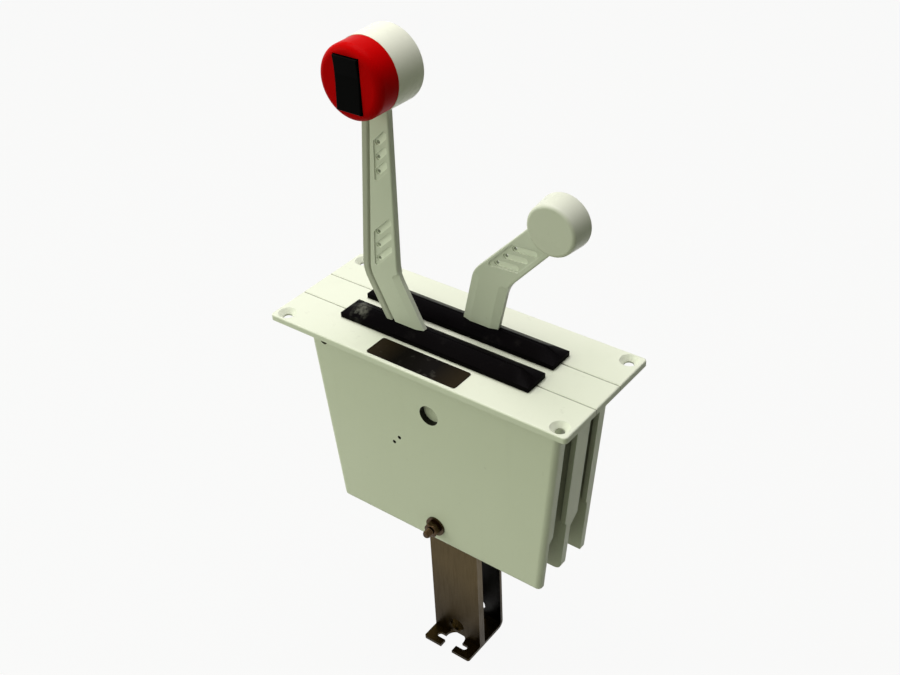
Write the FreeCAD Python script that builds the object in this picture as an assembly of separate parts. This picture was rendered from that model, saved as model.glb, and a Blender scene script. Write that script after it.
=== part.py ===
"""Two-lever control for a boat's console: a throttle lever and a shift lever side by side on one pivot.

Frame: the origin is the centre of the flange's underside, the face that lies on the console.
X runs along the flange and the lever slots, Y across them from the near (throttle) side to the far
(shift) side, and Z up, away from the console. Millimetres.
"""
import FreeCAD, Part
import math
import os

# ---- Flange and casing ------------------------------------------------------------------------
flange_length = 252.0
flange_width = 101.6
flange_thickness = 4.5
flange_corner_radius = 3.0
flange_edge_radius = 1.2
screw_hole_diameter = 6.8
screw_head_diameter = 13.6
screw_edge_x = 9.6              # hole centre in from the flange's end
screw_edge_y = 8.2              # hole centre in from the flange's long side
casing_half_length = 110.0      # at the flange
casing_taper = 5.85             # degrees, each end
casing_depth = 168.0
casing_half_width = 31.0
wall_thickness = 6.0
wall_corner_radius = 4.5        # near wall's upright corners
wall_foot_radius = 6.0
near_foot_radius = 3.0
far_corner_radius = 1.0         # far wall's corners, upright and at the foot
far_wall_drop = 2.5             # far wall hangs this much lower than the others
near_return_lip = 3.9           # end lips, in from each wall's face
centre_return_near = 2.2
centre_return_far = 7.8
far_return_lip = 2.4
return_depth = 118.0
flange_relief = 0.4             # flange is this much thinner inside the casing
return_wall = 4.0
seam_chamfer = 0.8

# ---- Levers and their pivot -------------------------------------------------------------------
lever_pitch = 29.5
pivot_drop = 46.4               # pivot axis below the flange's underside
pivot_diameter = 12.7
pivot_cap_thickness = 1.5
pivot_recess_diameter = 16.0
bush_outer_diameter = 16.0
bush_flange_diameter = 20.0
bush_flange_thickness = 1.0
hub_diameter = 34.0
hub_thickness = 11.0
arm_thickness = 5.6
arm_edge_radius = 1.2
arm_bevel_width = 6.3           # shallow slopes along the lower arm's edges
arm_bevel_depth = 1.1
arm_bend_distance = 102.0       # from the pivot to the bend
arm_bend_angle = 30.0
crank_reach = 56.0
crank_width = 11.0
crank_eye_radius = 6.5
crank_thickness = 6.0
crank_pin_diameter = 6.0
crank_pin_head = 9.0
crank_pin_head_height = 1.0

throttle_angle = -26.5          # lower arm from upright, towards +X
throttle_upper_length = 153.5   # from the bend to the knob's axis
throttle_tip_past_knob = 13.0
throttle_left = 13.4            # arm's edges either side of the pivot's centre line
throttle_right = 16.8
throttle_bend_left = 16.5       # the same either side of the upper centre line, at the bend
throttle_bend_right = 14.6
throttle_tip_left = 10.9        # and at the tip
throttle_tip_right = 8.1
shift_angle = 13.5
shift_upper_length = 78.5
shift_tip_past_knob = 8.0
shift_left = 13.2
shift_right = 15.4
shift_bend_left = 11.4
shift_bend_right = 12.9
shift_tip_left = 10.1
shift_tip_right = 11.4
bend_outer_radius = 26.0
bend_inner_radius = 28.0

# ---- Panels and pockets in the arms' faces ------------------------------------------------------
# Across and along are measured from the upper arm's centre line and from the bend.
panel_depth = 0.8
pocket_depth = 1.7
panel_corner = 1.5
panel_slope = 42.5              # pockets and panel ends, from the arm's axis
pocket_count = 3
pocket_pitch = 10.5
pocket_breadth = 4.4
pocket_drill_diameter = 2.6      # small hole at each pocket's lower end
low_panel_left = -5.1
low_panel_right = 10.3
low_panel_start = 7.5           # along its left side
low_panel_end = 36.0
low_pocket_across = 3.2
low_pocket_start = 21.2
low_pocket_length = 19.0
high_panel_left = -2.8
high_panel_right = 8.0
high_panel_start = 74.0
high_panel_end = 105.0
high_pocket_across = 3.1
high_pocket_start = 86.5
high_pocket_length = 13.0
shift_panel_left = -8.8
shift_panel_right = 8.6
shift_panel_start = 6.6
shift_panel_end = 38.0
shift_pocket_across = 0.1
shift_pocket_start = 21.2
shift_pocket_length = 19.4

# ---- Wire cover on the throttle arm -----------------------------------------------------------
cover_width = 7.0               # taken out of the arm's left edge
cover_gap = 1.4                 # groove between the cover's lip and the arm
cover_root_thickness = 2.8
cover_start = 26.0              # from the pivot
cover_end = 133.0               # from the bend, just inside the knob
cover_edge_radius = 1.4

# ---- Knobs ------------------------------------------------------------------------------------
knob_radius = 24.8
knob_back_radius = 25.6
knob_body_step = 0.3            # body's rim outside the cap's
knob_split = 9.25               # split face, in front of the throttle arm's centre plane
knob_back = 16.25               # back face, behind that plane
knob_cap_depth = 18.0
knob_cap_edge = 5.5
knob_body_edge = 3.0
knob_wall = 3.2
shift_knob_radius = 18.0
shift_knob_back_radius = 19.7
shift_knob_front = 10.75
shift_knob_back = 8.75
shift_knob_edge = 2.6

# ---- Trim rocker ------------------------------------------------------------------------------
rocker_width = 19.2
rocker_height = 35.4
rocker_proud = 1.9
rocker_dip = 1.2
rocker_break = 6.0              # the V's bottom, above the rocker's centre
rocker_root = 7.0
rocker_gap = 0.6
rocker_pin_drop = 5.1           # pin's axis behind the cap's face
rocker_pin_diameter = 2.4
rocker_ear = 1.6
trim_switch_drop = 9.2          # top of the switch behind the cap's face

# ---- Slot seals -------------------------------------------------------------------------------
seal_length = 161.0
seal_width = 20.5
seal_side = 4.0
seal_ridge = 9.6
seal_hip = 11.5
seal_wall = 1.6
slot_half_length = 72.0
slot_width = 15.4
slit_clearance = 0.5

# ---- Label ------------------------------------------------------------------------------------
label_length = 76.0
label_width = 19.5
label_thickness = 0.5
label_corner = 2.0
label_centre_y = -38.3

# ---- Fasteners --------------------------------------------------------------------------------
bolt_diameter = 6.35
bolt_head_width = 11.1
bolt_head_height = 4.4
nut_height = 5.6
washer_diameter = 16.0
washer_thickness = 1.5
lower_bolt_drop = 152.0
lower_bolt_tail = 6.0
upper_rod_left = -95.0          # tie rods that hold the castings together under the flange
upper_rod_left_drop = 18.6
upper_rod_right = 95.0
upper_rod_right_drop = 14.5
upper_rod_inset = 4.0           # each end inside the wall's outer face
spacer_diameter = 11.0
boss_margin = 2.0               # casting's boss round the spacer's end
boss_height = 1.5
small_screw_diameter = 2.4
switch_x = -31.7
switch_z = -82.7
switch_hole_spacing = 8.2
switch_tilt = 50.0
switch_length = 19.8
switch_height = 8.4
switch_thickness = 4.6
switch_button_offset = 7.0
switch_button_proud = 1.2
switch_button_depth = 3.6
switch_button_diameter = 2.4
switch_screw_head = 3.8
finger_start = 36.0             # the crank's finger that works the button, from the pivot
finger_end = 44.0
finger_low = 2.7                # its working face below the crank's centre line
finger_height = 5.5
finger_reach = 8.65             # from the lever's plane

# ---- Cable bracket ----------------------------------------------------------------------------
bracket_width = 45.0
bracket_centre_x = 3.0
bracket_sheet = 2.5
bracket_drop = 287.5            # underside of the foot below the flange's underside
bracket_foot = 16.0             # foot in front of the front plate
foot_corner_radius = 2.0
bracket_bend_radius = 6.0
bracket_head_rise = 12.0        # plates above the cross bolt
bracket_hub_drop = 14.0         # side holes above the foot
hub_hole_diameter = 13.0
front_fold = 4.0                # return along the front plate's right edge
seat_diameter = 16.4            # open seat for the throttle cable's anchor
seat_y = -20.0
seat_mouth = 11.0
clip_slot_length = 29.0         # cross slot for the clip that locks the cable
clip_slot_width = 5.0
clip_slot_y = -23.5
rear_seat_diameter = 14.0       # round seat for the shift cable
rear_seat_y = 3.5

# ---- Friction brake and detent ----------------------------------------------------------------
disc_diameter = 52.0
disc_thickness = 3.6
shoe_width = 18.0
shoe_thickness = 6.0
shoe_height = 7.5
shoe_socket = 3.0
lug_width = 16.0
lug_height = 9.0
lug_drop = 100.0                # lug's top below the flange's underside
lug_reach = 10.5
adjuster_diameter = 5.0
adjuster_nut_width = 8.0
adjuster_tail = 9.0
adjuster_slot = 1.2
detent_step = 33.0              # degrees between the shift lever's three places
detent_notch_depth = 1.6
detent_sleeve_diameter = 8.0
detent_sleeve_top = 80.0        # below the flange's underside
detent_sleeve_bottom = 113.0
detent_sleeve_floor = 3.0
detent_plunger_diameter = 5.0
detent_plunger_length = 19.0
detent_spring_wire = 0.7

# ---- Cable ends -------------------------------------------------------------------------------
trunnion_width = 10.0
trunnion_cheek = 2.2
trunnion_cheek_gap = 0.1
trunnion_fork_depth = 13.0      # room for the crank to swing between the cheeks
trunnion_length = 28.0
trunnion_thread_diameter = 4.8
trunnion_thread_depth = 12.0

# ---- Knob screws and trim switch --------------------------------------------------------------
knob_screw_diameter = 4.0
knob_screw_head = 7.6
knob_screw_head_height = 2.6
throttle_screw_across = 5.0     # from the upper arm's centre line
throttle_screw_low = 144.0      # from the bend
throttle_screw_high = 160.0
trim_switch_height = 31.0

# ---- Fits -------------------------------------------------------------------------------------
running_fit = 0.05              # radial, shaft in bush
side_play = 0.15                # along the pivot
bolt_clearance = 0.15
rest_gap = 0.3                  # between curved faces that move past each other
pocket_gap = 0.4
cut_reach = 20.0                # how far a cutting tool runs on past the piece

# ---- Worked out from the above ----------------------------------------------------------------
near_y = -lever_pitch / 2
far_y = lever_pitch / 2
inner_wall_y = casing_half_width - wall_thickness
centre_half = wall_thickness / 2
pivot_z = -pivot_drop
top_z = flange_thickness
hub_face = hub_thickness / 2
disc_face = hub_face + disc_thickness            # disc's outer face from the lever's plane
taper_slope = math.tan(math.radians(casing_taper))
pivot_seat_y = inner_wall_y - 0.5                # floor of the recess at each end of the pivot


# ================================ building blocks ==============================================
def vec(x, y, z):
    return FreeCAD.Vector(x, y, z)


def block(x0, x1, y0, y1, z0, z1):
    return Part.makeBox(x1 - x0, y1 - y0, z1 - z0, vec(x0, y0, z0))


def rod_y(x, z, diameter, y0, y1):
    return Part.makeCylinder(diameter / 2, y1 - y0, vec(x, y0, z), vec(0, 1, 0))


def rod_z(x, y, diameter, z0, z1):
    return Part.makeCylinder(diameter / 2, z1 - z0, vec(x, y, z0), vec(0, 0, 1))


def cone_y(x, z, d0, d1, y0, y1):
    return Part.makeCone(d0 / 2, d1 / 2, y1 - y0, vec(x, y0, z), vec(0, 1, 0))


def rounded_wire(points, radii):
    """A closed outline through 3-D points in one plane, each corner an arc of its own radius."""
    count = len(points)
    starts, ends, mids = [], [], []
    for i in range(count):
        corner = points[i]
        to_prev = (points[i - 1] - corner).normalize()
        to_next = (points[(i + 1) % count] - corner).normalize()
        half = to_prev.getAngle(to_next) / 2
        radius = radii[i]
        if radius <= 0:
            starts.append(corner)
            ends.append(corner)
            mids.append(None)
            continue
        run = radius / math.tan(half)
        bisector = (to_prev + to_next).normalize()
        centre = corner + bisector * (radius / math.sin(half))
        starts.append(corner + to_prev * run)
        ends.append(corner + to_next * run)
        mids.append(centre - bisector * radius)
    edges = []
    for i in range(count):
        if mids[i] is not None:
            edges.append(Part.Arc(starts[i], mids[i], ends[i]).toShape())
        nxt = (i + 1) % count
        if (ends[i] - starts[nxt]).Length > 1e-6:
            edges.append(Part.LineSegment(ends[i], starts[nxt]).toShape())
    return Part.Wire(edges)


def plate_y(outline, radii, y0, y1):
    """A plate between two Y planes whose outline is given as (x, z) corners."""
    points = [vec(x, y0, z) for x, z in outline]
    return Part.Face(rounded_wire(points, radii)).extrude(vec(0, y1 - y0, 0))


def plate_z(outline, radii, z0, z1):
    """A plate between two Z planes whose outline is given as (x, y) corners."""
    points = [vec(x, y, z0) for x, y in outline]
    return Part.Face(rounded_wire(points, radii)).extrude(vec(0, 0, z1 - z0))


def rectangle(x0, x1, y0, y1):
    return [(x0, y0), (x1, y0), (x1, y1), (x0, y1)]


def fuse(shapes):
    shapes = list(shapes)
    body = shapes[0]
    if len(shapes) > 1:
        body = body.multiFuse(shapes[1:])
    return body.removeSplitter()


def cut(shape, tools):
    for tool in tools:
        shape = shape.cut(tool)
    return shape


def mirror_y(shape):
    return shape.mirror(vec(0, 0, 0), vec(0, 1, 0))


def hexagon_y(x, z, width, y0, y1):
    radius = width / math.sqrt(3)
    corners = [(x + radius * math.cos(math.radians(60 * k)), z + radius * math.sin(math.radians(60 * k)))
               for k in range(6)]
    return plate_y(corners, [0] * 6, y0, y1)


def turned(shape, angle, lever_y):
    """Carry a lever's shape from its own frame (pivot at the origin, arm upright) to its place."""
    shape = shape.copy()
    shape.rotate(vec(0, 0, 0), vec(0, 1, 0), angle)
    shape.translate(vec(0, lever_y, pivot_z))
    return shape


def edges_where(shape, test):
    return [edge for edge in shape.Edges if test(edge)]


def save(name, shape):
    solids = shape.Solids
    if not solids:
        raise ValueError(name + " has no solid")
    piece = solids[0] if len(solids) == 1 else Part.makeCompound(solids)
    if not piece.isValid():
        raise ValueError(name + " is not valid")
    piece.exportStep("parts/" + name + ".step")
    size = piece.BoundBox
    print(f"{name:28s} solids {len(solids)}  volume {piece.Volume:10.1f}"
          f"  x {size.XMin:7.1f}..{size.XMax:7.1f}  y {size.YMin:7.1f}..{size.YMax:7.1f}"
          f"  z {size.ZMin:7.1f}..{size.ZMax:7.1f}")


# ================================ castings =====================================================
def end_x(z):
    """Half length of the casing at a height z at or below the flange."""
    return casing_half_length + z * taper_slope


def wall_outline(depth, inset=0.0):
    return [(-end_x(0) + inset, 0), (-end_x(-depth) + inset, -depth),
            (end_x(-depth) - inset, -depth), (end_x(0) - inset, 0)]


def end_returns(y0, y1, slope):
    """The two end lips: slabs along the tapered ends, long enough to be chamfered off at their feet."""
    lips = []
    for side in (-1, 1):
        foot = return_depth
        outline = [(side * end_x(0), 0), (side * end_x(-foot - slope), -foot - slope),
                   (side * (end_x(-foot - slope) - return_wall), -foot - slope),
                   (side * (end_x(0) - return_wall), 0)]
        lips.append(plate_y(outline, [0] * 4, y0, y1))
    return lips


def lip_chamfer(edge_y, direction, lip):
    """Wedges that slope each lip's foot back to the wall; direction is the side the lip points to."""
    reach = lip + 0.5
    z = -return_depth
    wedge = Part.Face(Part.makePolygon([
        vec(-casing_half_length - 5, edge_y + direction * 0.5, z + 0.5),
        vec(-casing_half_length - 5, edge_y + direction * 0.5, z - reach - 6),
        vec(-casing_half_length - 5, edge_y - direction * reach, z - reach - 6),
        vec(-casing_half_length - 5, edge_y - direction * reach, z - reach),
        vec(-casing_half_length - 5, edge_y + direction * 0.5, z + 0.5)]))
    return wedge.extrude(vec(2 * casing_half_length + 10, 0, 0))


def flange_outline(y0, y1, corner_signs):
    half = flange_length / 2
    corners = rectangle(-half, half, y0, y1)
    radii = [flange_corner_radius if sign else 0 for sign in corner_signs]
    return plate_z(corners, radii, 0, flange_thickness)


def lever_slot(lever_y):
    half = slot_width / 2
    end = slot_half_length
    outline = rectangle(-end, end, lever_y - half, lever_y + half)
    return plate_z(outline, [half - 0.5] * 4, -1, flange_thickness + 1)


def screw_hole(x, y):
    """A countersunk hole for a flat-headed screw, its cone 90 degrees."""
    cone_depth = (screw_head_diameter - screw_hole_diameter) / 2
    hole = rod_z(x, y, screw_hole_diameter, -1, flange_thickness + 1)
    sink = Part.makeCone(screw_hole_diameter / 2, screw_head_diameter / 2, cone_depth,
                         vec(x, y, flange_thickness - cone_depth), vec(0, 0, 1))
    return hole.fuse(sink)


def seam_groove(y):
    """A shallow V along the top where two castings meet."""
    half = flange_length / 2 + 1
    face = Part.Face(Part.makePolygon([
        vec(-half, y, top_z - seam_chamfer), vec(-half, y - seam_chamfer, top_z),
        vec(-half, y, top_z + seam_chamfer), vec(-half, y + seam_chamfer, top_z),
        vec(-half, y, top_z - seam_chamfer)]))
    return face.extrude(vec(2 * half, 0, 0))


def tie_rod_places():
    return [(upper_rod_left, -upper_rod_left_drop), (upper_rod_right, -upper_rod_right_drop)]


def rounded_top(shape, outer_y_sign):
    """Round the flange's outer top edges."""
    half = flange_length / 2

    def outer(edge):
        box = edge.BoundBox
        on_top = abs(box.ZMin - top_z) < 1e-3 and abs(box.ZMax - top_z) < 1e-3
        on_end = box.XMin > half - flange_corner_radius - 0.1 or box.XMax < -half + flange_corner_radius + 0.1
        side = flange_width / 2 - flange_corner_radius - 0.1
        on_side = outer_y_sign * (box.YMin + box.YMax) / 2 > side and outer_y_sign != 0
        return on_top and (on_end or on_side)

    return shape.makeFillet(flange_edge_radius, edges_where(shape, outer))


def flange_relief_cut(y0, y1):
    """The cored area inside the casing, between the end lips, where the flange is a little thinner."""
    end = casing_half_length - return_wall
    return block(-end, end, y0, y1, -flange_relief, flange_relief)


def side_casting(rods, depth, corner, foot, lip_reach):
    """A side casting in its place on the near side; turned half round, it serves on the far side."""
    outer = -casing_half_width
    inner = -inner_wall_y
    flange = flange_outline(-flange_width / 2, near_y, (1, 1, 0, 0))
    flange = rounded_top(flange, -1)
    flange = flange.cut(flange_relief_cut(inner, near_y + 1))
    wall = plate_y(wall_outline(depth), [0, foot, foot, 0], outer, inner)
    edge = inner + lip_reach
    lips = [lip.cut(lip_chamfer(edge, 1, lip_reach)) for lip in end_returns(outer, edge, lip_reach)]
    shell = fuse([wall] + lips)
    front_corners = edges_where(shell, lambda e: e.BoundBox.YMax < outer + 1e-3
                                and e.BoundBox.ZMax - e.BoundBox.ZMin > return_depth
                                and e.BoundBox.XMax - e.BoundBox.XMin < casing_depth / 2)
    shell = shell.makeFillet(corner, front_corners)
    boss = rod_y(0, pivot_z, bush_flange_diameter + 4, inner,
                 near_y - hub_face - bush_flange_thickness - side_play)
    rod_bosses = [rod_y(x, z, spacer_diameter + 2 * boss_margin, inner, inner + boss_height) for x, z in rods]
    body = fuse([flange, shell, boss] + rod_bosses)
    tools = [lever_slot(near_y), seam_groove(near_y)]
    tools += [rod_y(x, z, bolt_diameter, outer - 1, inner + boss_height + 1) for x, z in rods]
    for side in (-1, 1):
        tools.append(screw_hole(side * (flange_length / 2 - screw_edge_x), -flange_width / 2 + screw_edge_y))
    tools += pivot_bore(-1)
    tools.append(rod_y(0, -lower_bolt_drop, bolt_diameter + 2 * bolt_clearance, outer - 1, inner + 1))
    return cut(body, tools)


def near_casting():
    casting = side_casting(tie_rod_places(), casing_depth, wall_corner_radius, near_foot_radius,
                           near_return_lip)
    return cut(casting, switch_holes(-casing_half_width - 1, -inner_wall_y + 1))


def far_casting():
    rods = [(-x, z) for x, z in tie_rod_places()]
    casting = side_casting(rods, casing_depth + far_wall_drop, far_corner_radius, far_corner_radius,
                           far_return_lip)
    casting.rotate(vec(0, 0, 0), vec(0, 0, 1), 180)
    return casting


def pivot_bore(side):
    """The shaft's seat, and outside it the recess that the end cap closes, on one side casting."""
    spans = [(pivot_diameter, lever_pitch / 2, casing_half_width + 1),
             (pivot_recess_diameter, pivot_seat_y, casing_half_width + 1)]
    rods = []
    for diameter, low, high in spans:
        y0, y1 = sorted((side * low, side * high))
        rods.append(rod_y(0, pivot_z, diameter, y0, y1))
    return rods


def switch_places():
    half = switch_hole_spacing / 2
    turn = math.radians(switch_tilt)
    return [(switch_x - half * math.cos(turn), switch_z - half * math.sin(turn)),
            (switch_x + half * math.cos(turn), switch_z + half * math.sin(turn))]


def switch_holes(y0, y1):
    return [rod_y(x, z, small_screw_diameter, y0, y1) for x, z in switch_places()]


def centre_casting():
    flange = flange_outline(near_y, far_y, (0, 0, 0, 0))
    flange = rounded_top(flange, 0)
    wall = plate_y(wall_outline(casing_depth), [0, wall_foot_radius, wall_foot_radius, 0],
                   -centre_half, centre_half)
    for side in (-1, 1):
        y0, y1 = sorted((side * centre_half, side * (far_y + 1)))
        flange = flange.cut(flange_relief_cut(y0, y1))
    far_edge = centre_half + centre_return_far
    near_edge = -centre_half - centre_return_near
    chamfers = [lip_chamfer(far_edge, 1, centre_return_far), lip_chamfer(near_edge, -1, centre_return_near)]
    lips = [cut(lip, chamfers) for lip in end_returns(near_edge, far_edge, centre_return_far)]
    boss_end = near_y + disc_face + side_play
    boss = rod_y(0, pivot_z, bush_flange_diameter + 4, boss_end, -boss_end)
    lugs = [block(-lug_width / 2, lug_width / 2, -centre_half - lug_reach, centre_half + lug_reach,
                  -lug_drop - lug_height, -lug_drop)]
    boss_face = centre_half + boss_height
    rod_bosses = [rod_y(x, z, spacer_diameter + 2 * boss_margin, -boss_face, boss_face)
                  for x, z in tie_rod_places()]
    body = fuse([flange, wall, boss] + lips + lugs + rod_bosses)
    tools = [lever_slot(near_y), lever_slot(far_y), seam_groove(near_y), seam_groove(far_y)]
    tools.append(rod_y(0, pivot_z, pivot_diameter, -cut_reach, cut_reach))
    for x, z in tie_rod_places() + [(0, -lower_bolt_drop)]:
        tools.append(rod_y(x, z, bolt_diameter + 2 * bolt_clearance, -cut_reach, cut_reach))
    for y, diameter in ((brake_y(), adjuster_diameter), (detent_y(), detent_sleeve_diameter)):
        tools.append(rod_z(0, y, diameter, -lug_drop - lug_height - 1, -lug_drop + 1))
    return cut(body, tools)


def brake_y():
    return near_y + hub_face + disc_thickness / 2


def detent_y():
    return far_y - hub_face - disc_thickness / 2


# ================================ seals and label ==============================================
def hip_roof(length, width, side, ridge, hip, base_z):
    """A hip-roofed block: upright sides, four slopes, and a ridge along X."""
    x, y = length / 2, width / 2
    low = [vec(-x, -y, base_z), vec(x, -y, base_z), vec(x, y, base_z), vec(-x, y, base_z)]
    eaves = [vec(p.x, p.y, base_z + side) for p in low]
    left = vec(-x + hip, 0, base_z + ridge)
    right = vec(x - hip, 0, base_z + ridge)
    faces = [[low[3], low[2], low[1], low[0]],
             [low[0], low[1], eaves[1], eaves[0]], [low[1], low[2], eaves[2], eaves[1]],
             [low[2], low[3], eaves[3], eaves[2]], [low[3], low[0], eaves[0], eaves[3]],
             [eaves[0], eaves[1], right, left], [eaves[1], eaves[2], right],
             [eaves[2], eaves[3], left, right], [eaves[3], eaves[0], left]]
    shell = Part.Shell([Part.Face(Part.makePolygon(face + [face[0]])) for face in faces])
    return Part.Solid(shell)


def slot_seal(lever_y):
    outer = hip_roof(seal_length, seal_width, seal_side, seal_ridge, seal_hip, top_z)
    inner = hip_roof(seal_length - 2 * seal_wall, seal_width - 2 * seal_wall, seal_side - seal_wall,
                     seal_ridge - seal_wall * 1.3, seal_hip, top_z)
    inner.translate(vec(0, 0, -0.001))
    slit_half = arm_thickness / 2 + slit_clearance
    slit_end = seal_length / 2 - seal_hip + 1.0
    slit = block(-slit_end, slit_end, -slit_half, slit_half, top_z - 1, top_z + seal_ridge + 1)
    seal = outer.cut(inner).cut(slit)
    seal.translate(vec(0, lever_y, 0))
    return seal


def label_plate():
    outline = rectangle(-label_length / 2, label_length / 2, label_centre_y - label_width / 2,
                        label_centre_y + label_width / 2)
    return plate_z(outline, [label_corner] * 4, top_z, top_z + label_thickness)


# ================================ pivot and cross bolts ========================================
def pivot_shaft():
    return rod_y(0, pivot_z, pivot_diameter, -pivot_seat_y, pivot_seat_y)


def pivot_caps():
    outer = pivot_seat_y + pivot_cap_thickness
    inner = pivot_seat_y
    return Part.makeCompound([rod_y(0, pivot_z, pivot_recess_diameter, inner, outer),
                              rod_y(0, pivot_z, pivot_recess_diameter, -outer, -inner)])


def upper_tie_rods():
    """Rods pressed into the side walls, their ends below the walls' faces."""
    end = casing_half_width - upper_rod_inset
    rods = []
    for x, z in tie_rod_places():
        rod = rod_y(x, z, bolt_diameter, -end, end)
        rods.append(rod.makeChamfer(0.6, edges_where(rod, lambda e: e.BoundBox.YLength < 1e-6)))
    return Part.makeCompound(rods)


def spacer_tubes(places, gaps):
    tubes = []
    for x, z in places:
        for y0, y1 in gaps:
            tube = rod_y(x, z, spacer_diameter, y0, y1)
            tubes.append(tube.cut(rod_y(x, z, bolt_diameter + 2 * bolt_clearance, y0 - 1, y1 + 1)))
    return Part.makeCompound(tubes)


def upper_spacers():
    inner = inner_wall_y - boss_height
    middle = centre_half + boss_height
    return spacer_tubes(tie_rod_places(), [(-inner, -middle), (middle, inner)])


def lower_bolt():
    z = -lower_bolt_drop
    face = casing_half_width + washer_thickness
    head = hexagon_y(0, z, bolt_head_width, face, face + bolt_head_height)
    shank = rod_y(0, z, bolt_diameter, -face - nut_height - lower_bolt_tail, face)
    tip = edges_where(shank, lambda e: e.BoundBox.YMax < -face - nut_height - lower_bolt_tail + 1e-3)
    return fuse([head, shank.makeChamfer(0.8, tip)])


def lower_washers():
    rings = []
    for side in (-1, 1):
        y0, y1 = sorted((side * casing_half_width, side * (casing_half_width + washer_thickness)))
        ring = rod_y(0, -lower_bolt_drop, washer_diameter, y0, y1)
        rings.append(ring.cut(rod_y(0, -lower_bolt_drop, bolt_diameter + 2 * bolt_clearance, y0 - 1, y1 + 1)))
    return Part.makeCompound(rings)


def lower_nut():
    face = -casing_half_width - washer_thickness
    nut = hexagon_y(0, -lower_bolt_drop, bolt_head_width, face - nut_height, face)
    round_off = cone_y(0, -lower_bolt_drop, bolt_head_width * 1.02, bolt_head_width * 1.42,
                       face - nut_height, face)
    nut = nut.common(round_off)
    return nut.cut(rod_y(0, -lower_bolt_drop, bolt_diameter, face - nut_height - 1, face + 1))


def plate_faces():
    """Y planes of the bracket's front and rear plates, each centred on its lever's plane."""
    half = bracket_sheet / 2
    return (near_y - half, near_y + half), (far_y - half, far_y + half)


def lower_spacers():
    front, rear = plate_faces()
    gaps = [(-inner_wall_y, front[0]), (front[1], -centre_half), (centre_half, rear[0]), (rear[1], inner_wall_y)]
    return spacer_tubes([(0, -lower_bolt_drop)], gaps)


# ================================ cable bracket ================================================
def bracket_span():
    return bracket_centre_x - bracket_width / 2, bracket_centre_x + bracket_width / 2


def plate_outline(bottom):
    x0, x1 = bracket_span()
    top = -lower_bolt_drop + bracket_head_rise
    return [(x0, top), (x0, bottom), (x1, bottom), (x1, top)]


def bracket_holes(y0, y1):
    hub = rod_y(bracket_centre_x, -bracket_drop + bracket_hub_drop, hub_hole_diameter, y0, y1)
    bolt = rod_y(0, -lower_bolt_drop, bolt_diameter + 2 * bolt_clearance, y0, y1)
    return [hub, bolt]


def bracket_body():
    """One bent strip: the rear plate, a round bend, and the foot that runs forward under the front plate."""
    x0, x1 = bracket_span()
    y0, y1 = plate_faces()[1]
    foot_bottom = -bracket_drop
    foot_top = foot_bottom + bracket_sheet
    bend = bracket_bend_radius
    rear = plate_y(plate_outline(foot_bottom + bend), [8, 0, 0, 8], y0, y1)
    corner = rod_x(y1 - bend, foot_bottom + bend, 2 * bend, x0, x1)
    corner = corner.cut(rod_x(y1 - bend, foot_bottom + bend, 2 * (bend - bracket_sheet), x0 - 1, x1 + 1))
    corner = corner.common(block(x0, x1, y1 - bend, y1, foot_bottom, foot_bottom + bend))
    front = plate_faces()[0][0] - bracket_foot
    foot = plate_z(rectangle(x0, x1, front, y1 - bend), [foot_corner_radius] * 2 + [0, 0],
                   foot_bottom, foot_top)
    body = fuse([rear, corner, foot])
    tools = bracket_holes(y0 - 1, y1 + 1)
    tools += foot_openings(foot_bottom - 1, foot_top + 1)
    return cut(body, tools)


def rod_x(y, z, diameter, x0, x1):
    return Part.makeCylinder(diameter / 2, x1 - x0, vec(x0, y, z), vec(1, 0, 0))


def foot_openings(z0, z1):
    """The throttle cable's open seat at the front, and the shift cable's round seat behind it."""
    x = bracket_centre_x
    front = plate_faces()[0][0] - bracket_foot
    seat = rod_z(x, seat_y, seat_diameter, z0, z1)
    mouth = block(x - seat_mouth / 2, x + seat_mouth / 2, front - 1, seat_y, z0, z1)
    clip = plate_z(rectangle(x - clip_slot_length / 2, x + clip_slot_length / 2,
                             clip_slot_y - clip_slot_width / 2, clip_slot_y + clip_slot_width / 2),
                   [clip_slot_width / 2 - 0.05] * 4, z0, z1)
    rear = rod_z(x, rear_seat_y, rear_seat_diameter, z0, z1)
    return [seat, mouth, clip, rear]


def bracket_front_plate():
    """The front plate stands on the foot; its right edge is folded back for stiffness."""
    x0, x1 = bracket_span()
    y0, y1 = plate_faces()[0]
    plate = plate_y(plate_outline(-bracket_drop + bracket_sheet), [8, 0, 0, 8], y0, y1)
    top = -lower_bolt_drop - 2 * bracket_head_rise
    fold = block(x1 - bracket_sheet, x1, y1 - 0.01, y1 + front_fold, -bracket_drop + bracket_sheet, top)
    body = fuse([plate, fold])
    seat = rod_z(bracket_centre_x, seat_y, seat_diameter, -bracket_drop, -bracket_drop + 2 * bracket_sheet)
    return cut(body, bracket_holes(y0 - 1, y1 + 1) + [seat])


# ================================ levers =======================================================
def upper_point(across, along):
    """A point of the upper arm, in the lever's frame: across its centre line and along it from the bend."""
    turn = math.radians(arm_bend_angle)
    x = along * math.sin(turn) + across * math.cos(turn)
    z = arm_bend_distance + along * math.cos(turn) - across * math.sin(turn)
    return x, z


def meet(lower_x, first, second):
    """Where an upright edge at lower_x meets the line through two points."""
    share = (lower_x - first[0]) / (second[0] - first[0])
    return lower_x, first[1] + share * (second[1] - first[1])


def arm_side(lower_x, bend_across, tip_across, tip_along):
    """One side of a bent arm: its corner at the bend and its end at the tip."""
    bend = upper_point(bend_across, 0)
    tip = upper_point(tip_across, tip_along)
    return meet(lower_x, bend, tip), tip


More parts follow.
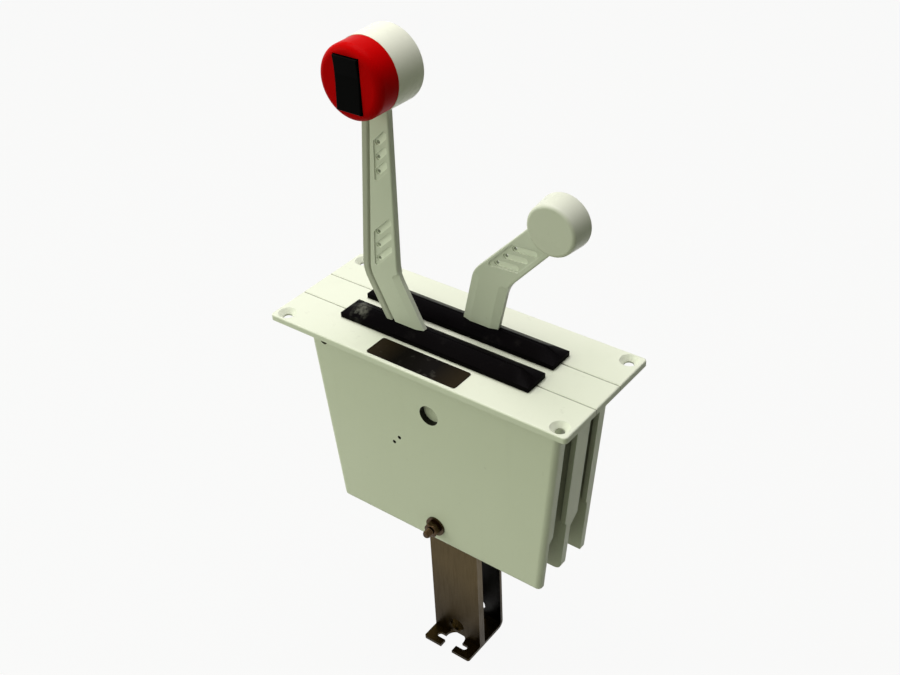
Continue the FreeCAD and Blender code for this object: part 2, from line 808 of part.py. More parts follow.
def rounded_plate(outline, radii, thickness, edge_radius):
    """A plate about the lever's plane with the long edges of both faces rounded."""
    half = thickness / 2
    plate = plate_y(outline, radii, -half, half)
    on_face = edges_where(plate, lambda e: abs(abs(e.BoundBox.YMin) - half) < 1e-4
                          and abs(e.BoundBox.YMax - e.BoundBox.YMin) < 1e-4)
    return plate.makeFillet(edge_radius, on_face)


def slanted_pocket(across, along, length, y0, y1):
    """A round-ended pocket along the panel's slope, between two Y planes."""
    turn = math.radians(panel_slope)
    half = (length - pocket_breadth) / 2
    radius = pocket_breadth / 2
    low = upper_point(across - half * math.sin(turn), along - half * math.cos(turn))
    high = upper_point(across + half * math.sin(turn), along + half * math.cos(turn))
    low, high = vec(low[0], y0, low[1]), vec(high[0], y0, high[1])
    direction = (high - low).normalize()
    side = vec(-direction.z, 0, direction.x) * radius
    high_end, low_end = high + direction * radius, low - direction * radius
    edges = [Part.LineSegment(low + side, high + side).toShape(),
             Part.Arc(high + side, high_end, high - side).toShape(),
             Part.LineSegment(high - side, low - side).toShape(),
             Part.Arc(low - side, low_end, low + side).toShape()]
    return Part.Face(Part.Wire(edges)).extrude(vec(0, y1 - y0, 0))


def face_spans(depth):
    """Y spans that sink a hollow of one depth into both faces of an arm."""
    face = arm_thickness / 2
    return (-face - 1, -face + depth), (face - depth, face + 1)


def panel_cut(left, right, left_low, left_high):
    """Shallow parallelograms in both faces, ends parallel to the pockets."""
    rise = (right - left) / math.tan(math.radians(panel_slope))
    corners = [upper_point(left, left_low), upper_point(left, left_high),
               upper_point(right, left_high + rise), upper_point(right, left_low + rise)]
    return [plate_y(corners, [panel_corner] * 4, low, high) for low, high in face_spans(panel_depth)]


def pocket_row(across, first_along, length):
    """Pockets in both faces, with a small hole drilled through at each one's lower end."""
    turn = math.radians(panel_slope)
    half = (length - pocket_breadth) / 2
    tools = []
    for k in range(pocket_count):
        along = first_along + pocket_pitch * k
        tools += [slanted_pocket(across, along, length, low, high) for low, high in face_spans(pocket_depth)]
        x, z = upper_point(across - half * math.sin(turn), along - half * math.cos(turn))
        tools.append(rod_y(x, z, pocket_drill_diameter, -arm_thickness, arm_thickness))
    return tools


def edge_slope(edge_x, inward, top):
    """Wedges that slope both faces of the lower arm down towards one upright edge."""
    face = arm_thickness / 2
    crease = edge_x + inward * arm_bevel_width
    outside = edge_x - inward * arm_bevel_width
    corners = [(outside, -1), (crease, -1), (crease, top), (outside, top)]
    window = plate_y(corners, [0, 0, arm_bevel_width * 0.6, 0], -face - 1, face + 1)
    wedges = []
    for sign in (-1, 1):
        section = Part.Face(Part.makePolygon([
            vec(crease, sign * face, -1), vec(outside, sign * (face - 2 * arm_bevel_depth), -1),
            vec(outside, sign * (face + 1), -1), vec(crease, sign * (face + 1), -1),
            vec(crease, sign * face, -1)]))
        wedges.append(section.extrude(vec(0, 0, top + 2)).common(window))
    return wedges


def crank(finger):
    """The short arm below the flange that carries the cable's end."""
    half = crank_thickness / 2
    width = crank_width / 2
    arm = plate_y([(0, -width), (-crank_reach, -width), (-crank_reach, width), (0, width)], [0] * 4, -half, half)
    eye = rod_y(-crank_reach, 0, 2 * crank_eye_radius, -half, half)
    pieces = [arm, eye]
    if finger:
        pieces.append(block(-finger_end, -finger_start, -finger_reach, 0, -finger_low, -finger_low + finger_height))
    return fuse(pieces)


def lever_arm(left, right, left_radius, throttle, hollows):
    """An arm with its hub and crank. Only the throttle's has the finger that works the idle switch."""
    outline = [(left[0][0], 0), left[0], left[1], right[1], right[0], (right[0][0], 0)]
    arm = rounded_plate(outline, [0, left_radius, 3, 3, bend_inner_radius, 0], arm_thickness, arm_edge_radius)
    hub = rod_y(0, 0, hub_diameter, -hub_face, hub_face)
    slopes = edge_slope(right[0][0], -1, right[0][1])
    if not throttle:
        slopes += edge_slope(left[0][0], 1, left[0][1])
    body = fuse([cut(arm, slopes), hub, crank(throttle)])
    tools = hollows + [rod_y(0, 0, bush_outer_diameter, -cut_reach, cut_reach),
                       rod_y(-crank_reach, 0, crank_pin_diameter, -cut_reach, cut_reach)]
    return cut(body, tools)


def throttle_tip():
    return throttle_upper_length + throttle_tip_past_knob


def throttle_arm_local():
    tip = throttle_tip()
    left = arm_side(-throttle_left + cover_width, -throttle_bend_left + cover_width,
                    -throttle_tip_left + cover_width, tip)
    right = arm_side(throttle_right, throttle_bend_right, throttle_tip_right, tip)
    hollows = panel_cut(low_panel_left, low_panel_right, low_panel_start, low_panel_end)
    hollows += pocket_row(low_pocket_across, low_pocket_start, low_pocket_length)
    hollows += panel_cut(high_panel_left, high_panel_right, high_panel_start, high_panel_end)
    hollows += pocket_row(high_pocket_across, high_pocket_start, high_pocket_length)
    for along in (throttle_screw_low, throttle_screw_high):
        x, z = upper_point(throttle_screw_across, along)
        hollows.append(rod_y(x, z, knob_screw_diameter, 0, cut_reach))
    return lever_arm(left, right, bend_outer_radius - cover_width, True, hollows)


def shift_arm_local():
    tip = shift_upper_length + shift_tip_past_knob
    left = arm_side(-shift_left, -shift_bend_left, -shift_tip_left, tip)
    right = arm_side(shift_right, shift_bend_right, shift_tip_right, tip)
    hollows = panel_cut(shift_panel_left, shift_panel_right, shift_panel_start, shift_panel_end)
    hollows += pocket_row(shift_pocket_across, shift_pocket_start, shift_pocket_length)
    x, z = upper_point(0, shift_upper_length)
    hollows.append(rod_y(x, z, knob_screw_diameter, -cut_reach, 0))     # the arm is mirrored into place
    return lever_arm(left, right, bend_outer_radius, False, hollows)


def cover_band(width_out, width_in, thickness, edge_radius):
    """A strip along the throttle arm's left edge, between two distances in from that edge."""
    sides = []
    for inset in (width_out, width_in):
        bend, tip = arm_side(-throttle_left + inset, -throttle_bend_left + inset,
                             -throttle_tip_left + inset, throttle_tip())
        share = cover_end / throttle_tip()
        start = upper_point(-throttle_bend_left + inset, 0)
        end = (start[0] + share * (tip[0] - start[0]), start[1] + share * (tip[1] - start[1]))
        sides.append((bend, end))
    outer, inner = sides
    outline = [(outer[0][0], cover_start), outer[0], outer[1], inner[1], inner[0], (inner[0][0], cover_start)]
    radii = [0, bend_outer_radius - width_out, 0, 0, bend_outer_radius - width_in, 0]
    if edge_radius:
        return rounded_plate(outline, radii, thickness, edge_radius)
    return plate_y(outline, radii, -thickness / 2, thickness / 2)


def wire_cover_local():
    lip = cover_band(0, cover_width - cover_gap, arm_thickness, cover_edge_radius)
    root = cover_band(cover_width - cover_gap - 1, cover_width, cover_root_thickness, 0)
    return fuse([lip, root])


def hub_bush_local():
    sleeve = rod_y(0, 0, bush_outer_diameter, -hub_face - bush_flange_thickness, disc_face)
    flange = rod_y(0, 0, bush_flange_diameter, -hub_face - bush_flange_thickness, -hub_face)
    bore = rod_y(0, 0, pivot_diameter + 2 * running_fit, -cut_reach, cut_reach)
    return sleeve.fuse(flange).removeSplitter().cut(bore)


def disc_local(notches):
    disc = rod_y(0, 0, disc_diameter, hub_face, disc_face)
    disc = disc.cut(rod_y(0, 0, bush_outer_diameter, 0, cut_reach))
    for angle in notches:
        turn = math.radians(180 - angle)
        radius = disc_diameter / 2 + detent_plunger_diameter / 2 - detent_notch_depth
        notch = rod_y(radius * math.sin(turn), radius * math.cos(turn), detent_plunger_diameter, 0, cut_reach)
        disc = disc.cut(notch)
    return disc


def clevis_pin_local():
    half = crank_thickness / 2 + trunnion_cheek_gap + trunnion_cheek
    pin = rod_y(-crank_reach, 0, crank_pin_diameter, -half - 0.1, half + 0.1)
    heads = [rod_y(-crank_reach, 0, crank_pin_head, half + 0.1, half + 0.1 + crank_pin_head_height),
             rod_y(-crank_reach, 0, crank_pin_head, -half - 0.1 - crank_pin_head_height, -half - 0.1)]
    return fuse([pin] + heads)


def crank_end(angle, lever_y):
    turn = math.radians(angle)
    return vec(-crank_reach * math.cos(turn), lever_y, pivot_z + crank_reach * math.sin(turn))


def trunnion(angle, lever_y):
    """A fork that hangs from the crank's pin, with a threaded hole below for the cable's rod."""
    place = crank_end(angle, lever_y)
    half = trunnion_width / 2
    inner = crank_thickness / 2 + trunnion_cheek_gap
    outer = inner + trunnion_cheek
    solid = block(-half, half, -outer, outer, -trunnion_length, 0).fuse(rod_y(0, 0, trunnion_width, -outer, outer))
    solid = solid.removeSplitter()
    fork = block(-half - 1, half + 1, -inner, inner, -trunnion_fork_depth, half + 1)
    pin = rod_y(0, 0, crank_pin_diameter + 2 * running_fit, -cut_reach, cut_reach)
    thread = rod_z(0, 0, trunnion_thread_diameter, -trunnion_length - 1, -trunnion_length + trunnion_thread_depth)
    body = cut(solid, [fork, pin, thread])
    body.translate(place)
    return body


# ================================ knobs and trim switch ========================================
def knob_centre(angle, length, lever_y):
    x, z = upper_point(0, length)
    turn = math.radians(angle)
    return vec(x * math.cos(turn) + z * math.sin(turn), lever_y, pivot_z - x * math.sin(turn) + z * math.cos(turn))


def round_at(shape, y, radius):
    return shape.makeFillet(radius, edges_where(shape, lambda e: abs(e.BoundBox.YMin - y) < 1e-4
                                                and abs(e.BoundBox.YMax - y) < 1e-4))


def throttle_knob_body(arm, cover):
    place = throttle_knob_place()
    body = cone_y(0, 0, 2 * (knob_radius + knob_body_step), 2 * knob_back_radius, -knob_split, knob_back)
    body = round_at(body, knob_back, knob_body_edge)
    wiring = rod_y(0, 0, 2 * (knob_radius - knob_wall - 1.6), -knob_split - 1, -knob_split + knob_wall)
    body = body.cut(wiring)
    body.translate(place)
    body = cut(body, [arm, cover] + knob_screw_tools())
    return body


def throttle_knob_place():
    return knob_centre(throttle_angle, throttle_upper_length, near_y)


def throttle_knob_cap():
    face = -knob_split - knob_cap_depth
    cap = rod_y(0, 0, 2 * knob_radius, face, -knob_split)
    cap = round_at(cap, face, knob_cap_edge)
    room = rod_y(0, 0, 2 * (knob_radius - knob_wall), face + knob_wall, -knob_split + 1)
    window = block(-rocker_width / 2 - rocker_gap, rocker_width / 2 + rocker_gap, face - 1, face + 2 * knob_wall,
                   -rocker_height / 2 - rocker_gap, rocker_height / 2 + rocker_gap)
    cap = cap.cut(room).cut(window)
    cap.translate(throttle_knob_place())
    return cap


def knob_screw_places():
    spots = []
    for along in (throttle_screw_low, throttle_screw_high):
        x, z = upper_point(throttle_screw_across, along)
        turn = math.radians(throttle_angle)
        spots.append((x * math.cos(turn) + z * math.sin(turn), pivot_z - x * math.sin(turn) + z * math.cos(turn)))
    return spots


def knob_screw_tools():
    back = near_y + knob_back
    tools = []
    for x, z in knob_screw_places():
        tools.append(rod_y(x, z, knob_screw_diameter, near_y, back + 1))
        tools.append(rod_y(x, z, knob_screw_head, back - knob_screw_head_height, back + 1))
    return tools


def pan_screw(x, z, tip, back):
    """A screw driven from behind: shank, sunk head and a cross recess."""
    shank = rod_y(x, z, knob_screw_diameter, tip, back - knob_screw_head_height)
    head = rod_y(x, z, knob_screw_head, back - knob_screw_head_height, back - 0.3)
    recess = [block(x - 2, x + 2, back - 1.5, back + 1, z - 0.45, z + 0.45),
              block(x - 0.45, x + 0.45, back - 1.5, back + 1, z - 2, z + 2)]
    return cut(fuse([shank, head]), recess)


def throttle_knob_screws():
    back = near_y + knob_back
    return Part.makeCompound([pan_screw(x, z, near_y, back) for x, z in knob_screw_places()])


def trim_rocker():
    """The rocker in the cap's face: a shallow V across, wider root behind."""
    face = -knob_split - knob_cap_depth
    half = rocker_height / 2
    root = face + rocker_root
    profile = [vec(0, face - rocker_proud, -half), vec(0, face - rocker_proud + rocker_dip, rocker_break),
               vec(0, face - rocker_proud, half), vec(0, root, half), vec(0, root, -half)]
    outline = Part.Face(Part.makePolygon(profile + [profile[0]]))
    body = outline.extrude(vec(rocker_width, 0, 0))
    body.translate(vec(-rocker_width / 2, 0, 0))
    body = body.makeFillet(0.7, edges_where(body, lambda e: e.BoundBox.YMax < face - rocker_proud + rocker_dip + 0.1
                                            and (e.BoundBox.XMax - e.BoundBox.XMin < 1e-3
                                                 or abs(abs(e.BoundBox.ZMin) - half) < 1e-3)))
    pin = rod_x(face + rocker_pin_drop, 0, rocker_pin_diameter + 2 * running_fit, -cut_reach, cut_reach)
    body = body.cut(pin)
    body.translate(throttle_knob_place())
    return body


def rocker_pin():
    half = rocker_width / 2 + rocker_gap / 2 + rocker_ear
    pin = rod_x(-knob_split - knob_cap_depth + rocker_pin_drop, 0, rocker_pin_diameter, -half, half)
    pin.translate(throttle_knob_place())
    return pin


def trim_switch():
    face = -knob_split - knob_cap_depth
    top = face + trim_switch_drop
    floor = -knob_split + knob_wall
    ear_in = rocker_width / 2 + rocker_gap / 2
    ear_out = ear_in + rocker_ear
    body = block(-ear_out, ear_out, top, floor, -trim_switch_height / 2, trim_switch_height / 2)
    ears = [block(ear_in, ear_out, face + knob_wall + 0.1, top + 1, -3, 3),
            block(-ear_out, -ear_in, face + knob_wall + 0.1, top + 1, -3, 3)]
    body = fuse([body] + ears)
    body = body.cut(rod_x(face + rocker_pin_drop, 0, rocker_pin_diameter, -cut_reach, cut_reach))
    body.translate(throttle_knob_place())
    return body


def shift_knob_place():
    return knob_centre(shift_angle, shift_upper_length, far_y)


def shift_knob(arm):
    place = shift_knob_place()
    knob = cone_y(0, 0, 2 * shift_knob_radius, 2 * shift_knob_back_radius, -shift_knob_front, shift_knob_back)
    knob = round_at(knob, -shift_knob_front, shift_knob_edge)
    knob = round_at(knob, shift_knob_back, shift_knob_edge)
    knob.translate(place)
    back = far_y + shift_knob_back
    screw = [rod_y(place.x, place.z, knob_screw_diameter, far_y, back + 1),
             rod_y(place.x, place.z, knob_screw_head, back - knob_screw_head_height, back + 1)]
    return cut(knob, [arm] + screw)


def shift_knob_screw():
    place = shift_knob_place()
    return pan_screw(place.x, place.z, far_y, far_y + shift_knob_back)


# ================================ brake, detent and switch =====================================
def brake_shoe():
    top = pivot_z - disc_diameter / 2 + 3
    y = brake_y()
    half = shoe_thickness / 2
    shoe = block(-shoe_width / 2, shoe_width / 2, y - half, y + half, top - 3 - shoe_height, top)
    shoe = shoe.cut(rod_y(0, pivot_z, disc_diameter + 2 * rest_gap, y - half - 1, y + half + 1))
    return shoe.cut(rod_z(0, y, adjuster_diameter, top - 4 - shoe_height, top - 3 - shoe_height + shoe_socket))


def adjuster_screw():
    top = pivot_z - disc_diameter / 2 - shoe_height + shoe_socket
    bottom = -lug_drop - lug_height - adjuster_tail
    screw = rod_z(0, brake_y(), adjuster_diameter, bottom, top)
    half = adjuster_slot / 2
    return screw.cut(block(-10, 10, brake_y() - half, brake_y() + half, bottom - 1, bottom + 2))


def adjuster_nut():
    top = -lug_drop - lug_height
    outline = hexagon_y(0, 0, adjuster_nut_width, -4.0, 0)
    outline.rotate(vec(0, 0, 0), vec(1, 0, 0), 90)
    low = outline.BoundBox.ZMax
    outline.translate(vec(0, brake_y(), top - low))
    return outline.cut(rod_z(0, brake_y(), adjuster_diameter, top - 10, top + 1))


def detent_sleeve():
    y = detent_y()
    sleeve = rod_z(0, y, detent_sleeve_diameter, -detent_sleeve_bottom, -detent_sleeve_top)
    bore = rod_z(0, y, detent_plunger_diameter + 2 * running_fit, -detent_sleeve_bottom + detent_sleeve_floor, 0)
    slot = block(-10, 10, y - 0.6, y + 0.6, -detent_sleeve_bottom - 1, -detent_sleeve_bottom + 1.5)
    return sleeve.cut(bore).cut(slot)


def plunger_top():
    return pivot_z - disc_diameter / 2 - rest_gap


def detent_plunger():
    radius = detent_plunger_diameter / 2
    top = plunger_top() - radius
    bottom = plunger_top() - detent_plunger_length
    pin = rod_z(0, detent_y(), detent_plunger_diameter, bottom, top)
    ball = Part.makeSphere(radius, vec(0, detent_y(), top))
    return pin.fuse(ball).removeSplitter()


def detent_spring():
    bottom = -detent_sleeve_bottom + detent_sleeve_floor
    top = plunger_top() - detent_plunger_length
    radius = detent_plunger_diameter / 2 - detent_spring_wire / 2 - 0.1
    turns = 8
    wire = detent_spring_wire / 2
    rise = (top - bottom - 2 * wire)
    helix = Part.makeHelix(rise / turns, rise, radius)
    profile = Part.Wire([Part.Circle(vec(radius, 0, 0), vec(0, 1, 0), wire).toShape()])
    coil = Part.Wire(helix).makePipeShell([profile], True, True)
    coil.translate(vec(0, detent_y(), bottom + wire))
    return coil


def in_switch_frame(shape):
    shape = shape.copy()
    shape.rotate(vec(0, 0, 0), vec(0, 1, 0), -switch_tilt)
    shape.translate(vec(switch_x, -inner_wall_y, switch_z))
    return shape


def switch_body():
    half = switch_length / 2
    high = switch_height / 2
    body = block(-half, half, 0, switch_thickness, -high, high)
    middle = switch_thickness / 2
    tools = [rod_z(switch_button_offset, middle, switch_button_diameter + 2 * running_fit,
                   high - switch_button_depth - 1.2, high + 1)]
    for x in (-switch_hole_spacing / 2, switch_hole_spacing / 2):
        tools.append(rod_y(x, 0, small_screw_diameter, -1, switch_thickness + 1))
        tools.append(rod_y(x, 0, switch_screw_head, switch_thickness - 1.2, switch_thickness + 1))
    return in_switch_frame(cut(body, tools))


def switch_terminals():
    """Three blades at the end of the switch for its wires."""
    high = switch_height / 2
    blades = []
    for x in (-6.5, 0, 6.5):
        blades.append(block(x - 1.2, x + 1.2, 1.9, 2.5, -high - 4.5, -high))
    return in_switch_frame(Part.makeCompound(blades))


def switch_button():
    high = switch_height / 2
    button = rod_z(switch_button_offset, switch_thickness / 2, switch_button_diameter,
                   high - switch_button_depth, high + switch_button_proud)
    tip = edges_where(button, lambda e: e.BoundBox.ZMin > high + switch_button_proud - 1e-3)
    return in_switch_frame(button.makeFillet(0.8, tip))


def switch_screws():
    screws = []
    for x in (-switch_hole_spacing / 2, switch_hole_spacing / 2):
        shank = rod_y(x, 0, small_screw_diameter, -wall_thickness + 1.5, switch_thickness - 1.2)
        head = rod_y(x, 0, switch_screw_head, switch_thickness - 1.2, switch_thickness - 0.1)
        slot = block(x - 2, x + 2, switch_thickness - 0.7, switch_thickness, -0.3, 0.3)
        screws.append(fuse([shank, head]).cut(slot))
    return in_switch_frame(Part.makeCompound(screws))


# ================================ everything in its place ======================================
def main():
    os.makedirs("parts", exist_ok=True)
    save("near_side_casting", near_casting())
    save("centre_casting", centre_casting())
    save("far_side_casting", far_casting())
    save("near_slot_seal", slot_seal(near_y))
    save("far_slot_seal", slot_seal(far_y))
    save("label_plate", label_plate())
    save("pivot_shaft", pivot_shaft())
    save("pivot_end_caps", pivot_caps())
    save("upper_tie_rods", upper_tie_rods())
    save("upper_spacers", upper_spacers())
    save("lower_cross_bolt", lower_bolt())
    save("lower_cross_nut", lower_nut())
    save("lower_washers", lower_washers())
    save("lower_spacers", lower_spacers())
    save("cable_bracket_body", bracket_body())
    save("cable_bracket_front_plate", bracket_front_plate())

    arm = turned(throttle_arm_local(), throttle_angle, near_y)
    cover = turned(wire_cover_local(), throttle_angle, near_y)
    save("throttle_lever_arm", arm)
    save("throttle_wire_cover", cover)
    save("throttle_hub_bush", turned(hub_bush_local(), throttle_angle, near_y))
    save("throttle_brake_disc", turned(disc_local([]), throttle_angle, near_y))
    save("throttle_clevis_pin", turned(clevis_pin_local(), throttle_angle, near_y))
    save("throttle_cable_trunnion", trunnion(throttle_angle, near_y))
    save("throttle_knob_body", throttle_knob_body(arm, cover))
    save("throttle_knob_cap", throttle_knob_cap())
    save("throttle_knob_screws", throttle_knob_screws())
    save("trim_rocker", trim_rocker())
    save("trim_rocker_pin", rocker_pin())
    save("trim_switch_body", trim_switch())

    arm = turned(mirror_y(shift_arm_local()), shift_angle, far_y)
    save("shift_lever_arm", arm)
    save("shift_hub_bush", turned(mirror_y(hub_bush_local()), shift_angle, far_y))
    places = [-detent_step, 0, detent_step]
    save("shift_detent_disc", turned(mirror_y(disc_local(places)), shift_angle, far_y))
    save("shift_clevis_pin", turned(mirror_y(clevis_pin_local()), shift_angle, far_y))
    save("shift_cable_trunnion", trunnion(shift_angle, far_y))
    save("shift_knob", shift_knob(arm))
    save("shift_knob_screw", shift_knob_screw())

    save("brake_shoe", brake_shoe())
    save("brake_adjuster_screw", adjuster_screw())
    save("brake_lock_nut", adjuster_nut())
    save("detent_sleeve", detent_sleeve())
    save("detent_plunger", detent_plunger())
    save("detent_spring", detent_spring())
    save("idle_switch_body", switch_body())
    save("idle_switch_terminals", switch_terminals())
    save("idle_switch_button", switch_button())
    save("idle_switch_screws", switch_screws())


main()
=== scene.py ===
# %% [markdown]
# # A two-lever boat engine control
# The real object is a casing of three painted castings that drops through a boat's console, with a throttle
# lever and a shift lever in the slots of its flange and a steel bracket for the cables underneath. The solids
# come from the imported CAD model, which is a fixed frame here. Blender gives them their looks, and remakes only
# the few shapes that a solid model leaves plain: rubber lips, a screw's thread and a spring's coils.

# %%
import bpy
import bmesh
import math
from mathutils import Matrix, Vector


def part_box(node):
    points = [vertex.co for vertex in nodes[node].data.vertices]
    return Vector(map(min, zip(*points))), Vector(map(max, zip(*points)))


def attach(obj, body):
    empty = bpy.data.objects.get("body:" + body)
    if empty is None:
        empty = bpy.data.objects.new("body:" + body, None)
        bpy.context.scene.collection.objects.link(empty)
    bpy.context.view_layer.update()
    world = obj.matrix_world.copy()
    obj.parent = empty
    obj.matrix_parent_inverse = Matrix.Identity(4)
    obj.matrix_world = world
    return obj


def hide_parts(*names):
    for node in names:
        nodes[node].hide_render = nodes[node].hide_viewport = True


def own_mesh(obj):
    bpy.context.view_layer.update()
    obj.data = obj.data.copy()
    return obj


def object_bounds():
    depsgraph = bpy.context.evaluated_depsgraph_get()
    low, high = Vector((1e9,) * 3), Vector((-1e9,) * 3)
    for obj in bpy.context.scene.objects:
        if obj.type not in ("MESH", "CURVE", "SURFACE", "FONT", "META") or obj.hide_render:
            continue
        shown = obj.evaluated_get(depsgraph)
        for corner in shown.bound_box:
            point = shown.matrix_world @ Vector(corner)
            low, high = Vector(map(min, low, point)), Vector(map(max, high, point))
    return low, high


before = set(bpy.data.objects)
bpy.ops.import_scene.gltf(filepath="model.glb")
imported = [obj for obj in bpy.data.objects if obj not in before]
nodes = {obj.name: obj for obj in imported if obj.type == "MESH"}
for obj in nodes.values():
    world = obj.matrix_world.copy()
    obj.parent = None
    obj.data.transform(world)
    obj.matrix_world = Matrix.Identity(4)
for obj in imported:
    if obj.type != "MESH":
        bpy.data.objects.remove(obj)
cad_low, cad_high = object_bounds()
scene = bpy.context.scene
MM = 0.001
print("CAD nodes:", len(nodes), "box:", [round(v, 4) for v in (*cad_low, *cad_high)])

# %% [markdown]
# ## Camera
# The camera stands in front of the throttle side, to the right and above, and leans three degrees. It could be
# aimed by eye with three angles, but an angle and a place that depend on each other are slow to correct. So the
# three axes of the view are worked out from the angles, and the matrix is built from those axes.

# %%
AZIMUTH, ELEVATION, ROLL = (math.radians(v) for v in (38.715, 35.031, 3.0))
CAMERA_PLACE = Vector((436.5, -546.8, 493.4)) * MM
LENS, SENSOR = 49.14, 36.0

back = Vector((math.sin(AZIMUTH) * math.cos(ELEVATION), -math.cos(AZIMUTH) * math.cos(ELEVATION),
               math.sin(ELEVATION)))
right = (-back).cross(Vector((0, 0, 1))).normalized()
down = (-back).cross(right)
side = math.cos(ROLL) * right + math.sin(ROLL) * down
up = math.sin(ROLL) * right - math.cos(ROLL) * down
camera = bpy.data.objects.new("camera", bpy.data.cameras.new("camera"))
camera.data.lens = LENS
camera.data.sensor_width = SENSOR
camera.data.clip_start = 0.01
place = Matrix((side, up, back)).transposed().to_4x4()
place.translation = CAMERA_PLACE
camera.matrix_world = place
scene.collection.objects.link(camera)
scene.camera = camera
print("camera at", [round(v, 3) for v in place.translation])

# %% [markdown]
# ## Node groups
# Paint, plastic and steel all show the same few effects: a fine grain, blotches, worn edges, streaks and painted
# shade in the corners. Each could be wired again in every material. A node group is built once instead, and each
# material places it with its own numbers. A group gives out only a mask or a normal, never a whole shader, so that
# a material can mix them as it needs. A new socket is found again by its identifier, because a name may be shared.

# %%
FLOAT, VECTOR, INTEGER, GEOMETRY = ("NodeSocket" + kind for kind in ("Float", "Vector", "Int", "Geometry"))
SHADER_TREE, GEOMETRY_TREE = "ShaderNodeTree", "GeometryNodeTree"


def wire(tree, start, end):
    tree.links.new(start, end)


def by_id(sockets, identifier):
    return next(s for s in sockets if s.identifier == identifier)


def group(name, inputs, result, kind, family=SHADER_TREE):
    """A group with its inputs and its one result, and nothing between them yet."""
    tree = bpy.data.node_groups.new(name, family)
    ids = {}
    for label, socket_kind, value in inputs:
        socket = tree.interface.new_socket(label, in_out="INPUT", socket_type=socket_kind)
        socket.default_value = value
        ids[label] = socket.identifier
    ids["result"] = tree.interface.new_socket(result, in_out="OUTPUT", socket_type=kind).identifier
    tree["ids"] = ids
    tree.nodes.new("NodeGroupInput").name = "given"
    tree.nodes.new("NodeGroupOutput").name = "result"
    return tree


def given(tree, label):
    return by_id(tree.nodes["given"].outputs, tree["ids"][label])


def give_out(tree, value):
    wire(tree, value, by_id(tree.nodes["result"].inputs, tree["ids"]["result"]))


def give_out_spread(tree, value, low="Low", high="High"):
    """The last step of each mask: what lies between two of the group's inputs becomes 0 to 1."""
    spread = tree.nodes.new("ShaderNodeMapRange")
    wire(tree, value, spread.inputs["Value"])
    wire(tree, given(tree, low), spread.inputs["From Min"])
    wire(tree, given(tree, high), spread.inputs["From Max"])
    give_out(tree, spread.outputs["Result"])


print("group helpers ready")

# %% [markdown]
# ### Grain
# Sprayed paint has a slight orange peel, and moulded plastic is never quite smooth. Displacing the mesh would
# need millions of faces. A Bump node bends only the shading by a noise, which is enough at this depth.

# %%
grain = group("grain", [("Scale", FLOAT, 900.0), ("Strength", FLOAT, 0.2)], "Normal", VECTOR)
coords = grain.nodes.new("ShaderNodeTexCoord")
noise = grain.nodes.new("ShaderNodeTexNoise")
noise.inputs["Detail"].default_value = 3.0
bump = grain.nodes.new("ShaderNodeBump")
bump.inputs["Distance"].default_value = 0.4 * MM
wire(grain, coords.outputs["Object"], noise.inputs["Vector"])
wire(grain, given(grain, "Scale"), noise.inputs["Scale"])
wire(grain, given(grain, "Strength"), bump.inputs["Strength"])
wire(grain, noise.outputs[0], bump.inputs["Height"])
give_out(grain, bump.outputs["Normal"])
print("group:", grain.name)

# %% [markdown]
# ### Blotches
# Old paint and plastic change tone slowly, and carry small marks. Both are one noise with its middle values
# pulled apart: a low scale gives wide soft patches, a high scale with a narrow range gives specks.

# %%
blotch = group("blotch", [("Scale", FLOAT, 20.0), ("Low", FLOAT, 0.4), ("High", FLOAT, 0.7)], "Mask", FLOAT)
coords = blotch.nodes.new("ShaderNodeTexCoord")
noise = blotch.nodes.new("ShaderNodeTexNoise")
noise.inputs["Detail"].default_value = 6.0
noise.inputs["Roughness"].default_value = 0.62
wire(blotch, coords.outputs["Object"], noise.inputs["Vector"])
wire(blotch, given(blotch, "Scale"), noise.inputs["Scale"])
give_out_spread(blotch, noise.outputs[0])
print("group:", blotch.name)

# %% [markdown]
# ### Worn edges
# Hands and cloths rub paint thin on its outer edges. The mesh could carry painted edges, but then every change
# of the solids would undo them. A Bevel node looks round each edge as it renders: where its soft normal leaves
# the true one, the surface is near an edge, and the dot product of the two measures by how much.

# %%
edges = group("edges", [("Radius", FLOAT, 1.2 * MM), ("Low", FLOAT, 0.02), ("High", FLOAT, 0.25)], "Mask", FLOAT)
soft = edges.nodes.new("ShaderNodeBevel")
soft.samples = 4
flat = edges.nodes.new("ShaderNodeNewGeometry")
dot = edges.nodes.new("ShaderNodeVectorMath")
dot.operation = "DOT_PRODUCT"
flip = edges.nodes.new("ShaderNodeMath")
flip.operation = "SUBTRACT"
flip.inputs[0].default_value = 1.0
wire(edges, given(edges, "Radius"), soft.inputs["Radius"])
wire(edges, soft.outputs["Normal"], dot.inputs[0])
wire(edges, flat.outputs["Normal"], dot.inputs[1])
wire(edges, dot.outputs["Value"], flip.inputs[1])
give_out_spread(edges, flip.outputs[0])
print("group:", edges.name)

# %% [markdown]
# ### Streaks
# Rolled steel has fine lines one way, and wiped paint has faint ones. A wave texture would look ruled. A noise
# whose coordinates are squeezed along one axis gives lines that differ in length and strength.

